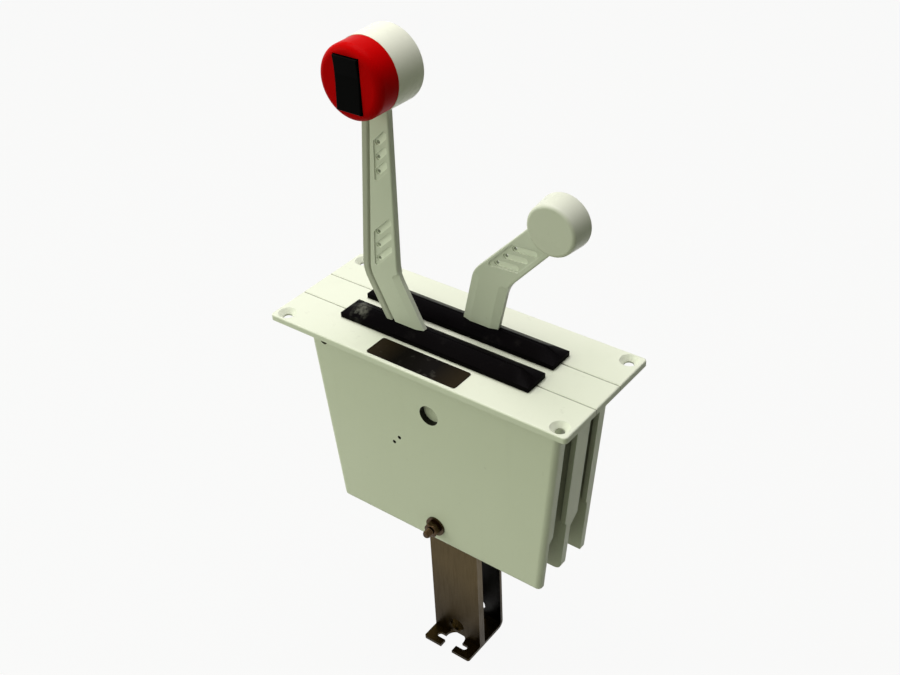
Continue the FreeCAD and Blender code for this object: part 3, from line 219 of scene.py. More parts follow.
# %%
streak = group("streak", [("Scale", FLOAT, 60.0), ("Stretch", VECTOR, (1.0, 1.0, 0.06)), ("Low", FLOAT, 0.5),
                          ("High", FLOAT, 0.75)], "Mask", FLOAT)
coords = streak.nodes.new("ShaderNodeTexCoord")
squeeze = streak.nodes.new("ShaderNodeVectorMath")
squeeze.operation = "MULTIPLY"
noise = streak.nodes.new("ShaderNodeTexNoise")
noise.inputs["Detail"].default_value = 5.0
wire(streak, coords.outputs["Object"], squeeze.inputs[0])
wire(streak, given(streak, "Stretch"), squeeze.inputs[1])
wire(streak, squeeze.outputs["Vector"], noise.inputs["Vector"])
wire(streak, given(streak, "Scale"), noise.inputs["Scale"])
give_out_spread(streak, noise.outputs[0])
print("group:", streak.name)

# %% [markdown]
# ### Crease shade
# A brownish painted shade goes deep in the gaps between the castings. An Ambient Occlusion node measures how closed
# in a point is, within a reach of three centimetres, so the painted shade finds its own place.

# %%
crease_shade = group("crease_shade", [("Reach", FLOAT, 30 * MM), ("Open", FLOAT, 0.60), ("Closed", FLOAT, 0.42)], "Mask",
                FLOAT)
shelter = crease_shade.nodes.new("ShaderNodeAmbientOcclusion")
shelter.samples = 6
wire(crease_shade, given(crease_shade, "Reach"), shelter.inputs["Distance"])
give_out_spread(crease_shade, shelter.outputs["AO"], "Open", "Closed")
print("shared groups:", [g.name for g in bpy.data.node_groups])

# %% [markdown]
# ## Layers of a material
# A finish is seldom one colour. Each material starts from a base colour, and each layer mixes another colour over
# what is there, through a mask, as a painter works from the ground up. Numbers that are the same all over are
# set on the shader's own sockets.

# %%
def base_material(name, colour, roughness, metallic=0.0, coat=0.0, coat_roughness=0.1, specular=0.5):
    made = bpy.data.materials.new(name)
    made.use_nodes = True
    shader = made.node_tree.nodes["Principled BSDF"]
    shader.inputs["Base Color"].default_value = (*colour, 1.0)
    shader.inputs["Roughness"].default_value = roughness
    shader.inputs["Metallic"].default_value = metallic
    shader.inputs["Coat Weight"].default_value = coat
    shader.inputs["Coat Roughness"].default_value = coat_roughness
    shader.inputs["Specular IOR Level"].default_value = specular
    return made


def shader_of(made):
    return made.node_tree.nodes["Principled BSDF"]


def mask(made, kind, **values):
    """Place a shared group in a material with its own numbers, and hand back its mask or normal."""
    node = made.node_tree.nodes.new("ShaderNodeGroup")
    node.node_tree = kind
    for label, value in values.items():
        by_id(node.inputs, kind["ids"][label]).default_value = value
    return node.outputs[0]


def colour_layer(made, share, colour, amount):
    """Mix a colour over what is there, where the mask is, by an amount."""
    tree, base = made.node_tree, shader_of(made).inputs["Base Color"]
    scale = tree.nodes.new("ShaderNodeMath")
    scale.operation = "MULTIPLY"
    scale.use_clamp = True
    scale.inputs[1].default_value = amount
    wire(tree, share, scale.inputs[0])
    mix = tree.nodes.new("ShaderNodeMix")
    mix.data_type = "RGBA"
    wire(tree, scale.outputs[0], mix.inputs["Factor"])
    if base.is_linked:
        wire(tree, base.links[0].from_socket, by_id(mix.inputs, "A_Color"))
    else:
        by_id(mix.inputs, "A_Color").default_value = base.default_value
    by_id(mix.inputs, "B_Color").default_value = (*colour, 1.0)
    wire(tree, by_id(mix.outputs, "Result_Color"), base)


print("colour layers ready")

# %% [markdown]
# ### Gloss and grain
# Even a clean surface is glossier in one place than in another, and that shows most where it mirrors a lamp. A
# mask is spread between two roughness values, and the grain group bends the normal.

# %%
def roughness_layer(made, share, low, high):
    spread = made.node_tree.nodes.new("ShaderNodeMapRange")
    spread.inputs["To Min"].default_value = low
    spread.inputs["To Max"].default_value = high
    wire(made.node_tree, share, spread.inputs["Value"])
    wire(made.node_tree, spread.outputs["Result"], shader_of(made).inputs["Roughness"])


def add_grain(made, scale, strength):
    wire(made.node_tree, mask(made, grain, Scale=scale, Strength=strength), shader_of(made).inputs["Normal"])


print("gloss and grain ready")

# %% [markdown]
# ## Masks from a place
# Some marks belong to one spot: the shadow in a recess, a grey patch of dust and painted highlight, the floors of
# pockets. They could be cut out as extra meshes. It is simpler to measure the point's own place with Math nodes and
# turn that into a mask.
# Object coordinates are used, since a CAD piece's object sits at the origin and they are then metres.

# %%
def math_node(made, operation, *values):
    """One Math node whose inputs are sockets or numbers."""
    node = made.node_tree.nodes.new("ShaderNodeMath")
    node.operation = operation
    for socket, value in zip(node.inputs, values):
        if isinstance(value, (int, float)):
            socket.default_value = value
        else:
            wire(made.node_tree, value, socket)
    return node.outputs[0]


def own_place(made):
    """X, Y and Z of the point, in the piece's own coordinates."""
    where = made.node_tree.nodes.new("ShaderNodeTexCoord")
    parts = made.node_tree.nodes.new("ShaderNodeSeparateXYZ")
    wire(made.node_tree, where.outputs["Object"], parts.inputs[0])
    return parts.outputs["X"], parts.outputs["Y"], parts.outputs["Z"]


print("place helpers ready")

# %% [markdown]
# ## The castings' paint
# The castings are sprayed white and dull; the slight green of the paint is painted shade, the green cast that the
# shaded faces take. One flat colour would look like paper, so the paint gets a slow tone change, grime, faint
# streaks, chalky edges and orange peel. Its coat is thin, because old paint hardly mirrors anything.

# %%
GRIME, STREAKS, CHALK = (0.42, 0.41, 0.34), (0.55, 0.55, 0.47), (0.93, 0.93, 0.9)


def painted(name, colour, shade, roughness):
    made = base_material(name, colour, roughness, coat=0.05, coat_roughness=0.22, specular=0.12)
    colour_layer(made, mask(made, blotch, Scale=9.0, Low=0.35, High=0.7), shade, 0.3)
    colour_layer(made, mask(made, blotch, Scale=160.0, Low=0.64, High=0.74), GRIME, 0.16)
    colour_layer(made, mask(made, streak, Scale=55.0, Low=0.58, High=0.8), STREAKS, 0.14)
    colour_layer(made, mask(made, edges), CHALK, 0.35)
    roughness_layer(made, mask(made, blotch, Scale=30.0, Low=0.3, High=0.7), roughness - 0.06, roughness + 0.1)
    add_grain(made, 700.0, 0.22)
    return made


# The paint's slight green tint is painted shade: the green cast of the shaded faces.
white_paint = painted("white_paint", (0.79, 0.82, 0.71), (0.74, 0.77, 0.65), 0.36)
print("painted:", white_paint.name)

# %% [markdown]
# ### Shade and dirt on the castings
# Painted shade darkens the gaps, the groove round each pivot cap and the rims of two small screw holes, and dirt
# lines the seams where the three castings meet. Each spot is found from the box of the CAD piece that sits in it,
# so it stays right if that piece moves.

# %%
def ramp(made, value, low, high):
    """0 below low, 1 above high; the other way round when high is the smaller."""
    node = made.node_tree.nodes.new("ShaderNodeMapRange")
    node.inputs["From Min"].default_value = low
    node.inputs["From Max"].default_value = high
    wire(made.node_tree, value, node.inputs["Value"])
    return node.outputs["Result"]


def disc_mask(made, first, second, centre, radius, soft_edge):
    """1 within a radius of a centre, measured in two of the piece's coordinates."""
    a = math_node(made, "SUBTRACT", first, centre[0])
    b = math_node(made, "SUBTRACT", second, centre[1])
    squares = math_node(made, "ADD", math_node(made, "MULTIPLY", a, a), math_node(made, "MULTIPLY", b, b))
    return ramp(made, math_node(made, "SQRT", squares), radius + soft_edge, radius)


# Painted shade for the gaps, the cap grooves and the screw holes; the seams' colour is dirt.
GAP_SHADE, HOLE_SHADE, SEAM_DIRT = (0.030, 0.016, 0.003), (0.004, 0.003, 0.002), (0.12, 0.12, 0.08)
CAP_RECESS, CAP_RECESS_EDGE = 8.02 * MM, 0.06 * MM
HOLE_RIM, HOLE_RIM_EDGE = 1.45 * MM, 0.15 * MM
SCREW_HEAD_RADIUS = 1.9 * MM
SEAM_WIDTH = 0.3 * MM

# Painted shade: the gaps and hollows of the castings are darkened where ambient occlusion finds them closed in.
colour_layer(white_paint, mask(white_paint, crease_shade), GAP_SHADE, 0.86)
x, y, z = own_place(white_paint)
low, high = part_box("pivot_shaft")
pivot = ((low.x + high.x) / 2, (low.z + high.z) / 2)
# Painted shade in the groove round each pivot cap.
recess_shade = disc_mask(white_paint, x, z, pivot, CAP_RECESS, CAP_RECESS_EDGE)
colour_layer(white_paint, recess_shade, HOLE_SHADE, 0.97)
low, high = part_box("idle_switch_screws")
inwards = SCREW_HEAD_RADIUS
# Painted shade at the rims of the two screw holes.
for hole in ((low.x + inwards, low.z + inwards), (high.x - inwards, high.z - inwards)):
    colour_layer(white_paint, disc_mask(white_paint, x, z, hole, HOLE_RIM, HOLE_RIM_EDGE), HOLE_SHADE, 0.9)
seam_place = -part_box("centre_casting")[0].y
seam = math_node(white_paint, "COMPARE", math_node(white_paint, "ABSOLUTE", y), seam_place, SEAM_WIDTH)
colour_layer(white_paint, seam, SEAM_DIRT, 0.75)
print("seams", round(seam_place / MM, 2), "mm either side of the middle")

# %% [markdown]
# ### The arms
# Both arms have slanted pockets whose floors are cleaner and paler than the faces that hands touch. A second
# mesh could cover the floors, but it would flicker against the casting. The material picks them out instead:
# they look along Y and lie close to the middle plane of the arm, measured from the disc beside it.

# %%
ARM_FROM_DISC, FLOOR_DEPTH = 5.5 * MM, 1.3 * MM
POCKET_FLOOR = (0.92, 0.95, 0.86)


def facing_y(made):
    """How far the surface looks along Y, from -1 to 1."""
    geometry = made.node_tree.nodes.new("ShaderNodeNewGeometry")
    parts = made.node_tree.nodes.new("ShaderNodeSeparateXYZ")
    wire(made.node_tree, geometry.outputs["True Normal"], parts.inputs[0])
    return parts.outputs["Y"]


def pocket_floors(made, middle_y):
    """Where a face that looks along Y lies deeper than the arm's own faces."""
    _, y, _ = own_place(made)
    deep = math_node(made, "COMPARE", math_node(made, "SUBTRACT", y, middle_y), 0.0, FLOOR_DEPTH)
    return math_node(made, "MULTIPLY", deep, math_node(made, "ABSOLUTE", facing_y(made)))


# Painted shade: the arms carry the same white paint as the castings, with a darker base and tone.
throttle_paint = painted("throttle_paint", (0.69, 0.72, 0.63), (0.61, 0.635, 0.55), 0.36)
shift_paint = painted("shift_paint", (0.69, 0.72, 0.63), (0.61, 0.635, 0.55), 0.36)
throttle_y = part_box("throttle_brake_disc")[0].y - ARM_FROM_DISC
shift_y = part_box("shift_detent_disc")[1].y + ARM_FROM_DISC
for made, middle_y in ((throttle_paint, throttle_y), (shift_paint, shift_y)):
    colour_layer(made, pocket_floors(made, middle_y), POCKET_FLOOR, 0.9)
print("arms' middle planes at", round(throttle_y / MM, 2), "and", round(shift_y / MM, 2), "mm")

# %% [markdown]
# ## Plastics
# The knobs, caps, rocker and wire cover are moulded. They differ in colour and gloss, not in kind, so one
# function makes them all: a slow tone change, small specks, uneven gloss and a fine grain. The black and red
# ones reflect very little, so their specular level is low.

# %%
def plastic(name, colour, shade, roughness, coat=0.0, grain_scale=1500.0, grain_strength=0.08, specular=0.5):
    made = base_material(name, colour, roughness, coat=coat, coat_roughness=0.08, specular=specular)
    colour_layer(made, mask(made, blotch, Scale=14.0, Low=0.35, High=0.75), shade, 0.4)
    colour_layer(made, mask(made, blotch, Scale=260.0, Low=0.66, High=0.74), shade, 0.35)
    roughness_layer(made, mask(made, blotch, Scale=45.0, Low=0.35, High=0.7), roughness - 0.04, roughness + 0.12)
    add_grain(made, grain_scale, grain_strength)
    return made


white_plastic = plastic("white_plastic", (0.79, 0.81, 0.70), (0.72, 0.74, 0.63), 0.25, coat=0.06, specular=0.12)
grey_plastic = plastic("grey_plastic", (0.69, 0.71, 0.62), (0.61, 0.63, 0.54), 0.28, coat=0.06, specular=0.12)
cap_plastic = plastic("cap_plastic", (0.76, 0.79, 0.66), (0.5, 0.52, 0.43), 0.4, specular=0.1)
cover_plastic = plastic("cover_plastic", (0.50, 0.51, 0.44), (0.42, 0.43, 0.37), 0.4, specular=0.12)
red_plastic = plastic("red_plastic", (0.54, 0.0005, 0.001), (0.38, 0.0005, 0.0005), 0.3, specular=0.015)
black_plastic = plastic("black_plastic", (0.002, 0.002, 0.002), (0.004, 0.004, 0.004), 0.3, specular=0.012)
bearing_plastic = plastic("bearing_plastic", (0.62, 0.58, 0.46), (0.5, 0.46, 0.36), 0.5)
brake_lining = plastic("brake_lining", (0.10, 0.07, 0.05), (0.2, 0.15, 0.11), 0.8, grain_scale=900.0,
                       grain_strength=0.5)
print("plastics: knobs, caps, cover, rocker, bushes, lining")

# %% [markdown]
# ## Seal rubber
# The seals are black rubber with a dull bloom, and one has a grey patch near an end, partly dust and partly a
# painted highlight. The patch could be a decal on a small mesh of its own. A round mask sets its place in the
# material instead, so that nothing floats over the rubber, and a noise breaks the mask up so that it isn't a neat
# disc.

# %%
SMUDGE_SHEEN_PLACE, SMUDGE_SHEEN_RADIUS, SMUDGE_SHEEN_EDGE = (-66.5 * MM, -18.5 * MM), 3.0 * MM, 6.0 * MM

seal_rubber = plastic("seal_rubber", (0.002, 0.0015, 0.002), (0.005, 0.004, 0.004), 0.3, grain_scale=600.0,
                      grain_strength=0.12, specular=0.012)
colour_layer(seal_rubber, mask(seal_rubber, blotch, Scale=70.0, Low=0.6, High=0.8), (0.03, 0.026, 0.026), 0.3)
x, y, _ = own_place(seal_rubber)
# A grey patch near the end: partly dust, partly a painted highlight.
dust_and_sheen = math_node(seal_rubber, "MULTIPLY", disc_mask(seal_rubber, x, y, SMUDGE_SHEEN_PLACE, SMUDGE_SHEEN_RADIUS, SMUDGE_SHEEN_EDGE),
                  mask(seal_rubber, blotch, Scale=190.0, Low=0.42, High=0.6))
colour_layer(seal_rubber, dust_and_sheen, (0.155, 0.155, 0.135), 0.7)
print("scuff at", [round(v / MM, 1) for v in SMUDGE_SHEEN_PLACE], "mm")

# %% [markdown]
# ## Metals
# The shafts and screws are stainless, the lower bolt is tarnished brown, and the discs and spacers are bare
# aluminium. Anisotropic shading could give the drawn look, but it needs tangents that a CAD mesh lacks. Fine lines
# in colour and roughness along the right axis give nearly the same look.

# %%
ALONG_X, ALONG_Y, ALONG_Z, LONG_STRIP = (0.1, 1.0, 1.0), (1.0, 0.1, 1.0), (1.0, 1.0, 0.3), (1.0, 1.0, 0.08)


def steel(name, colour, shade, roughness, stretch, grain_strength=0.1):
    made = base_material(name, colour, roughness, metallic=1.0)
    colour_layer(made, mask(made, blotch, Scale=18.0, Low=0.35, High=0.7), shade, 0.55)
    lines = mask(made, streak, Scale=900.0, Stretch=stretch, Low=0.35, High=0.7)
    colour_layer(made, lines, shade, 0.3)
    roughness_layer(made, lines, roughness - 0.08, roughness + 0.12)
    add_grain(made, 1200.0, grain_strength)
    return made


stainless = steel("stainless", (0.34, 0.32, 0.30), (0.2, 0.18, 0.17), 0.26, ALONG_X)
tarnished_steel = steel("tarnished_steel", (0.085, 0.052, 0.026), (0.008, 0.005, 0.003), 0.24, ALONG_X)
bare_aluminium = steel("bare_aluminium", (0.66, 0.67, 0.68), (0.5, 0.5, 0.5), 0.36, ALONG_Y)
spring_steel = steel("spring_steel", (0.5, 0.5, 0.52), (0.35, 0.35, 0.36), 0.22, ALONG_Z)
print("metals: stainless, tarnished, aluminium, spring")

# %% [markdown]
# ### The bracket
# The bracket is strip steel that has gone brown. Painted shade makes it darker towards its foot and nearly black
# inside its fold. A CAD piece keeps one material, so its inside can't get a second one. The foot's painted shade
# follows the height, and the inside is told from the outside by the way the surface faces and by its place across
# the bracket.

# %%
FOOT_SHADE_FADE = (-205 * MM, -275 * MM)
INSIDE_PLACE, INSIDE_FACING = (-12 * MM, 8 * MM), (0.1, -0.4)

bracket_steel = steel("bracket_steel", (0.086, 0.058, 0.020), (0.060, 0.041, 0.014), 0.36, LONG_STRIP, 0.2)
_, y, z = own_place(bracket_steel)
fold_shade = math_node(bracket_steel, "MULTIPLY", ramp(bracket_steel, y, *INSIDE_PLACE),
                   ramp(bracket_steel, facing_y(bracket_steel), *INSIDE_FACING))
# Painted shade: darker towards the foot, and nearly black inside the fold.
colour_layer(bracket_steel, ramp(bracket_steel, z, *FOOT_SHADE_FADE), (0.018, 0.010, 0.001), 0.85)
colour_layer(bracket_steel, fold_shade, (0.002, 0.0015, 0.001), 0.95)
print("bracket darkens below", round(FOOT_SHADE_FADE[0] / MM), "mm")

# %% [markdown]
# ## The label
# A thin plate lies beside the near slot. It stays bare: glossy black, with an olive tint that comes in towards
# both ends and a few rubbed spots. The tint is a ramp on the distance from the middle, without regard to side.

# %%
TINT_FROM, TINT_TO = 14 * MM, 34 * MM

label_black = plastic("label_black", (0.003, 0.0025, 0.002), (0.008, 0.006, 0.005), 0.32, specular=0.02)
x, _, _ = own_place(label_black)
tint = ramp(label_black, math_node(label_black, "ABSOLUTE", x), TINT_FROM, TINT_TO)
colour_layer(label_black, tint, (0.026, 0.018, 0.008), 0.7)
colour_layer(label_black, mask(label_black, blotch, Scale=120.0, Low=0.6, High=0.75), (0.2, 0.19, 0.17), 0.2)
print("label fades from", round(TINT_FROM / MM), "to", round(TINT_TO / MM), "mm either side of its middle")

# %% [markdown]
# ## Making pieces
# A remade piece is built in place, in metres, with its object at the origin, as the CAD pieces are. It then rides
# on a body, takes its material, and hides the CAD solid that it stands for.

# %%
def add_piece(name, mesh, material, body, stands_for=()):
    piece = bpy.data.objects.new(name, mesh)
    mesh.materials.clear()
    mesh.materials.append(material)
    scene.collection.objects.link(piece)
    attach(piece, body)
    if stands_for:
        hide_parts(*stands_for)
    return piece


print("pieces so far:", len(nodes))

# %% [markdown]
# ### Applied modifiers
# A modifier could stay live. Its result is taken as a plain mesh instead, so that each piece holds the very faces
# that are shown.

# %%
def applied(name, data, prepare=None):
    """The plain mesh of a short-lived object, after its modifiers or its curve have done their work."""
    holder = bpy.data.objects.new(name + "_tmp", data)
    scene.collection.objects.link(holder)
    if prepare:
        prepare(holder)
    mesh = bpy.data.meshes.new_from_object(holder.evaluated_get(bpy.context.evaluated_depsgraph_get()))
    bpy.data.objects.remove(holder)
    mesh.name = name
    return mesh


print("modifiers are applied one piece at a time")

# %% [markdown]
# ### Rounded skins
# No real edge is sharp: a small bevel catches the light and makes a piece look moulded or machined. Pieces are
# lofted through rings of points, cleaned, turned to face outwards, and bevelled only where two faces meet at
# more than a set angle, so that round parts stay as they are.

# %%
SMOOTH_BELOW = 38


def finished(name, build, bevel=0.0, angle=30):
    """A mesh from a bmesh function, its sharp edges rounded when a bevel width is given."""
    bm = bmesh.new()
    build(bm)
    bmesh.ops.remove_doubles(bm, verts=bm.verts, dist=1e-7)
    bmesh.ops.recalc_face_normals(bm, faces=bm.faces)
    mesh = bpy.data.meshes.new(name)
    bm.to_mesh(mesh)
    bm.free()

    def round_edges(holder):
        edge = holder.modifiers.new("bevel", "BEVEL")
        edge.width = bevel
        edge.segments = 3
        edge.limit_method = "ANGLE"
        edge.angle_limit = math.radians(angle)
        edge.harden_normals = False
    if bevel:
        mesh = applied(name, mesh, round_edges)
    for polygon in mesh.polygons:
        polygon.use_smooth = True
    mesh.set_sharp_from_angle(angle=math.radians(SMOOTH_BELOW))
    return mesh


def loft(bm, rings):
    """Join rings of points into a skin and close both ends."""
    made = [[bm.verts.new(p) for p in ring] for ring in rings]
    count = len(made[0])
    for a, b in zip(made, made[1:]):
        for k in range(count):
            bm.faces.new((a[k], a[(k + 1) % count], b[(k + 1) % count], b[k]))
    bm.faces.new(made[0][::-1])
    bm.faces.new(made[-1])


print("faces that meet at under", SMOOTH_BELOW, "degrees are shaded smooth")

# %% [markdown]
# ## Slot seals
# Each slot is closed by two rubber lips that meet in a ridge, so that the lever can part them anywhere. The CAD
# seal is open along its ridge, to leave the lever room. A cross-section is lofted along the slot instead, with
# a fine slit on top, and it comes down to the flange at both ends like a hipped roof.

# %%
RIDGE, EAVES, BASE = 9.6 * MM, 3.8 * MM, 0.05 * MM
SLIT, LIP_SHOULDER = 0.35 * MM, 1.1 * MM
LIP_DROP, SHOULDER_DROP, SLIT_DEPTH = 0.35 * MM, 0.45 * MM, 1.3 * MM
HIP = 11.5 * MM
HIP_STATIONS = (0.0, 0.02, 0.5, 0.98)
SPANS = 30


def seal_mesh(name, low, high):
    """A hipped roof over the CAD seal's footprint, with a closed slit along the ridge."""
    middle, half = (low.y + high.y) / 2, (high.y - low.y) / 2
    ridge, eaves, base = low.z + RIDGE, low.z + EAVES, low.z + BASE
    one_side = [(half, base), (half, eaves), (SLIT + LIP_SHOULDER, ridge - SHOULDER_DROP), (SLIT, ridge - LIP_DROP)]
    across = [(-y, z) for y, z in one_side] + [(0, ridge - SLIT_DEPTH)] + one_side[::-1]
    run = high.x - low.x - 2 * HIP
    spots = [low.x + HIP * s for s in HIP_STATIONS] + [low.x + HIP + run * k / SPANS for k in range(1, SPANS)]
    spots += [high.x - HIP * s for s in HIP_STATIONS[::-1]]

    def build(bm):
        rings = []
        for x in spots:
            share = min(1.0, (x - low.x) / HIP, (high.x - x) / HIP)
            rings.append([Vector((x, middle + y, eaves + (z - eaves) * share if z > eaves else z))
                          for y, z in across])
        loft(bm, rings)
    return finished(name, build, bevel=0.45 * MM, angle=24)


for node in ("near_slot_seal", "far_slot_seal"):
    low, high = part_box(node)
    add_piece(node + "_lips", seal_mesh(node + "_lips", low, high), seal_rubber, "casing", (node,))

# %% [markdown]
# ## Lower bolt's thread
# The tail of the bolt that holds the bracket shows its thread. A true helix is hard to close at its ends. At this
# size, a ring that rises and falls once per pitch looks the same. Geometry Nodes make one such ring from two
# short cones. The tree's sizes are named inputs, so that another bolt could use it.

# %%
BOLT_RADIUS, PITCH, THREAD_DEPTH = 6.35 / 2 * MM, 1.27 * MM, 0.62 * MM
THREAD_SIDES = 40

thread = group("thread", [("Count", INTEGER, 1), ("Radius", FLOAT, BOLT_RADIUS), ("Depth", FLOAT, THREAD_DEPTH),
                          ("Pitch", FLOAT, PITCH)], "Geometry", GEOMETRY, GEOMETRY_TREE)
root, half = (thread.nodes.new("ShaderNodeMath") for _ in range(2))
root.operation = "SUBTRACT"
wire(thread, given(thread, "Radius"), root.inputs[0])
wire(thread, given(thread, "Depth"), root.inputs[1])
half.operation, half.inputs[1].default_value = "DIVIDE", 2.0
wire(thread, given(thread, "Pitch"), half.inputs[0])
step, lift = (thread.nodes.new("ShaderNodeCombineXYZ") for _ in range(2))
wire(thread, given(thread, "Pitch"), step.inputs["Z"])
wire(thread, half.outputs[0], lift.inputs["Z"])
rise, fall = (thread.nodes.new("GeometryNodeMeshCone") for _ in range(2))
for cone, bottom, top in ((rise, root.outputs[0], given(thread, "Radius")),
                          (fall, given(thread, "Radius"), root.outputs[0])):
    by_id(cone.inputs, "Vertices").default_value = THREAD_SIDES
    wire(thread, bottom, by_id(cone.inputs, "Radius Bottom"))
    wire(thread, top, by_id(cone.inputs, "Radius Top"))
    wire(thread, half.outputs[0], by_id(cone.inputs, "Depth"))
print("thread's inputs:", [label for label in thread["ids"].keys() if label != "result"])

# %% [markdown]
# The second cone is lifted by half a pitch, so that the pair makes one ridge. A line of points, one pitch apart,
# carries a copy of the ridge at each point. The copies are made real and given their material, so that the result
# is one plain mesh.

# %%
shift = thread.nodes.new("GeometryNodeTransform")
ridge = thread.nodes.new("GeometryNodeJoinGeometry")
line = thread.nodes.new("GeometryNodeMeshLine")
stamp = thread.nodes.new("GeometryNodeInstanceOnPoints")
solid = thread.nodes.new("GeometryNodeRealizeInstances")
paint = thread.nodes.new("GeometryNodeSetMaterial")
by_id(paint.inputs, "Material").default_value = tarnished_steel
wire(thread, lift.outputs[0], by_id(shift.inputs, "Translation"))
wire(thread, fall.outputs["Mesh"], shift.inputs["Geometry"])
wire(thread, rise.outputs["Mesh"], ridge.inputs[0])
wire(thread, shift.outputs["Geometry"], ridge.inputs[0])
wire(thread, given(thread, "Count"), by_id(line.inputs, "Count"))
wire(thread, step.outputs[0], by_id(line.inputs, "Offset"))
wire(thread, line.outputs["Mesh"], stamp.inputs["Points"])
wire(thread, ridge.outputs["Geometry"], stamp.inputs["Instance"])
wire(thread, stamp.outputs["Instances"], solid.inputs["Geometry"])
wire(thread, solid.outputs["Geometry"], paint.inputs["Geometry"])
give_out(thread, paint.outputs["Geometry"])
print("thread's nodes:", len(thread.nodes))

# %% [markdown]
# The tree runs on an empty mesh, with its sizes set by the sockets' identifiers. The result is laid along the
# bolt's axis, from just inside the nut towards the tip.

# %%
THREAD_START, THREAD_OVERLAP, BARE_TIP = 0.1 * MM, 0.4 * MM, 1.0 * MM

bolt_low, bolt_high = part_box("lower_cross_bolt")
nut_low, nut_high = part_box("lower_cross_nut")
bolt_x, bolt_z = (bolt_low.x + bolt_high.x) / 2, (bolt_low.z + bolt_high.z) / 2
count = int((nut_low.y - bolt_low.y + THREAD_OVERLAP - BARE_TIP) / PITCH)


def stamp_ridges(holder):
    nodes_modifier = holder.modifiers.new("nodes", "NODES")
    nodes_modifier.node_group = thread
    for label, value in (("Count", count), ("Radius", BOLT_RADIUS), ("Depth", THREAD_DEPTH), ("Pitch", PITCH)):
        nodes_modifier[thread["ids"][label]] = value


threads = applied("lower_bolt_threads", bpy.data.meshes.new("lower_bolt_threads"), stamp_ridges)
lie_along_y = Matrix.Rotation(math.radians(90), 4, "X")
threads.transform(Matrix.Translation((bolt_x, nut_low.y + THREAD_START, bolt_z)) @ lie_along_y)
add_piece("lower_bolt_threads", threads, tarnished_steel, "casing")
print("thread ridges:", count)

# %% [markdown]
# ## Lower bolt's shank, head and nut
# The shank is turned, so its outline is turned about its axis: thinner under the thread, full behind the nut. A
# forged head and nut are hexagons whose outer corners are turned off. Cutting a cone from a prism would do it;
# limiting each ring's radius does the same with clean faces.

# %%
TURNED_STEPS = 48
HEX_WIDTH = 11.0 * MM
HEAD_FACE = 32.5 * MM
CORE = BOLT_RADIUS - 0.5 * MM
HEAD_CROWN, NUT_CROWN = 0.25, 0.22


def lathe(bm, profile, x, z):
    """Turn (radius, along) points about an axis along Y."""
    turns = [2 * math.pi * k / TURNED_STEPS for k in range(TURNED_STEPS)]
    loft(bm, [[Vector((x + radius * math.cos(a), along, z + radius * math.sin(a))) for a in turns]
              for radius, along in profile])


def bolt_body(bm):
    lathe(bm, [(CORE * 0.75, bolt_low.y), (CORE, bolt_low.y + 0.6 * MM), (CORE, nut_low.y + 0.2 * MM),
               (BOLT_RADIUS, nut_low.y + 0.25 * MM), (BOLT_RADIUS, HEAD_FACE)], bolt_x, bolt_z)


def hex_shape(bm, y_in, y_out, crown):
    """A hexagon with its outer corners turned off and a round face."""
    rings = []
    big, small = HEX_WIDTH / math.sqrt(3), HEX_WIDTH / 2
    for share, y in ((1.0, y_in), (1.0, y_out - (y_out - y_in) * crown), (0.0, y_out)):
        limit = small * 0.97 + (big - small) * share
        ring = []
        for k in range(TURNED_STEPS):
            a = 2 * math.pi * k / TURNED_STEPS
            r = min(small / math.cos((a % (math.pi / 3)) - math.pi / 6), limit)
            ring.append(Vector((bolt_x + r * math.cos(a), y, bolt_z + r * math.sin(a))))
        rings.append(ring)
    loft(bm, rings)


shank = finished("lower_bolt_shank", bolt_body)
head = finished("lower_bolt_head", lambda bm: hex_shape(bm, HEAD_FACE, bolt_high.y, HEAD_CROWN), bevel=0.2 * MM)
nut = finished("lower_nut_body", lambda bm: hex_shape(bm, nut_high.y, nut_low.y, NUT_CROWN), bevel=0.25 * MM)
add_piece("lower_bolt_shank", shank, tarnished_steel, "casing", ("lower_cross_bolt",))
add_piece("lower_bolt_head", head, tarnished_steel, "casing")
add_piece("lower_nut_body", nut, tarnished_steel, "casing", ("lower_cross_nut",))
print("bolt faces:", len(shank.polygons), "head faces:", len(head.polygons), "nut faces:", len(nut.polygons))

# %% [markdown]
# ## The detent's spring
# A coil spring presses the plunger into the shift lever's notches. A curve with a round bevel is the simplest coil:
# its points climb as they turn, and its wire is closed by the fill caps.

# %%
WIRE_RADIUS, TURNS, STEPS_PER_TURN = 0.33 * MM, 8, 20


def spring_mesh(name, low, high):
    centre = (low + high) / 2
    curve = bpy.data.curves.new(name, "CURVE")
    curve.dimensions = "3D"
    curve.bevel_depth = WIRE_RADIUS
    curve.bevel_resolution = 3
    curve.use_fill_caps = True
    spline = curve.splines.new("POLY")
    steps = TURNS * STEPS_PER_TURN
    spline.points.add(steps)
    ring = (high.x - low.x) / 2 - WIRE_RADIUS
    for k in range(steps + 1):
        a = 2 * math.pi * TURNS * k / steps
        z = low.z + WIRE_RADIUS + (high.z - low.z - 2 * WIRE_RADIUS) * k / steps
        spline.points[k].co = (centre.x + ring * math.cos(a), centre.y + ring * math.sin(a), z, 1)
    return applied(name, curve)


low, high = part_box("detent_spring")
spring = add_piece("detent_spring_coil", spring_mesh("detent_spring_coil", low, high), spring_steel, "casing",
                   ("detent_spring",))
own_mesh(spring)
print("spring coil:", round((high.z - low.z) / MM, 1), "mm")

# %% [markdown]
# ## Finish on the CAD nodes
# All other pieces keep their CAD shape. One table says which finish each one has, so that a wrong one is easy to
# find, and the material goes into the piece's own slots.

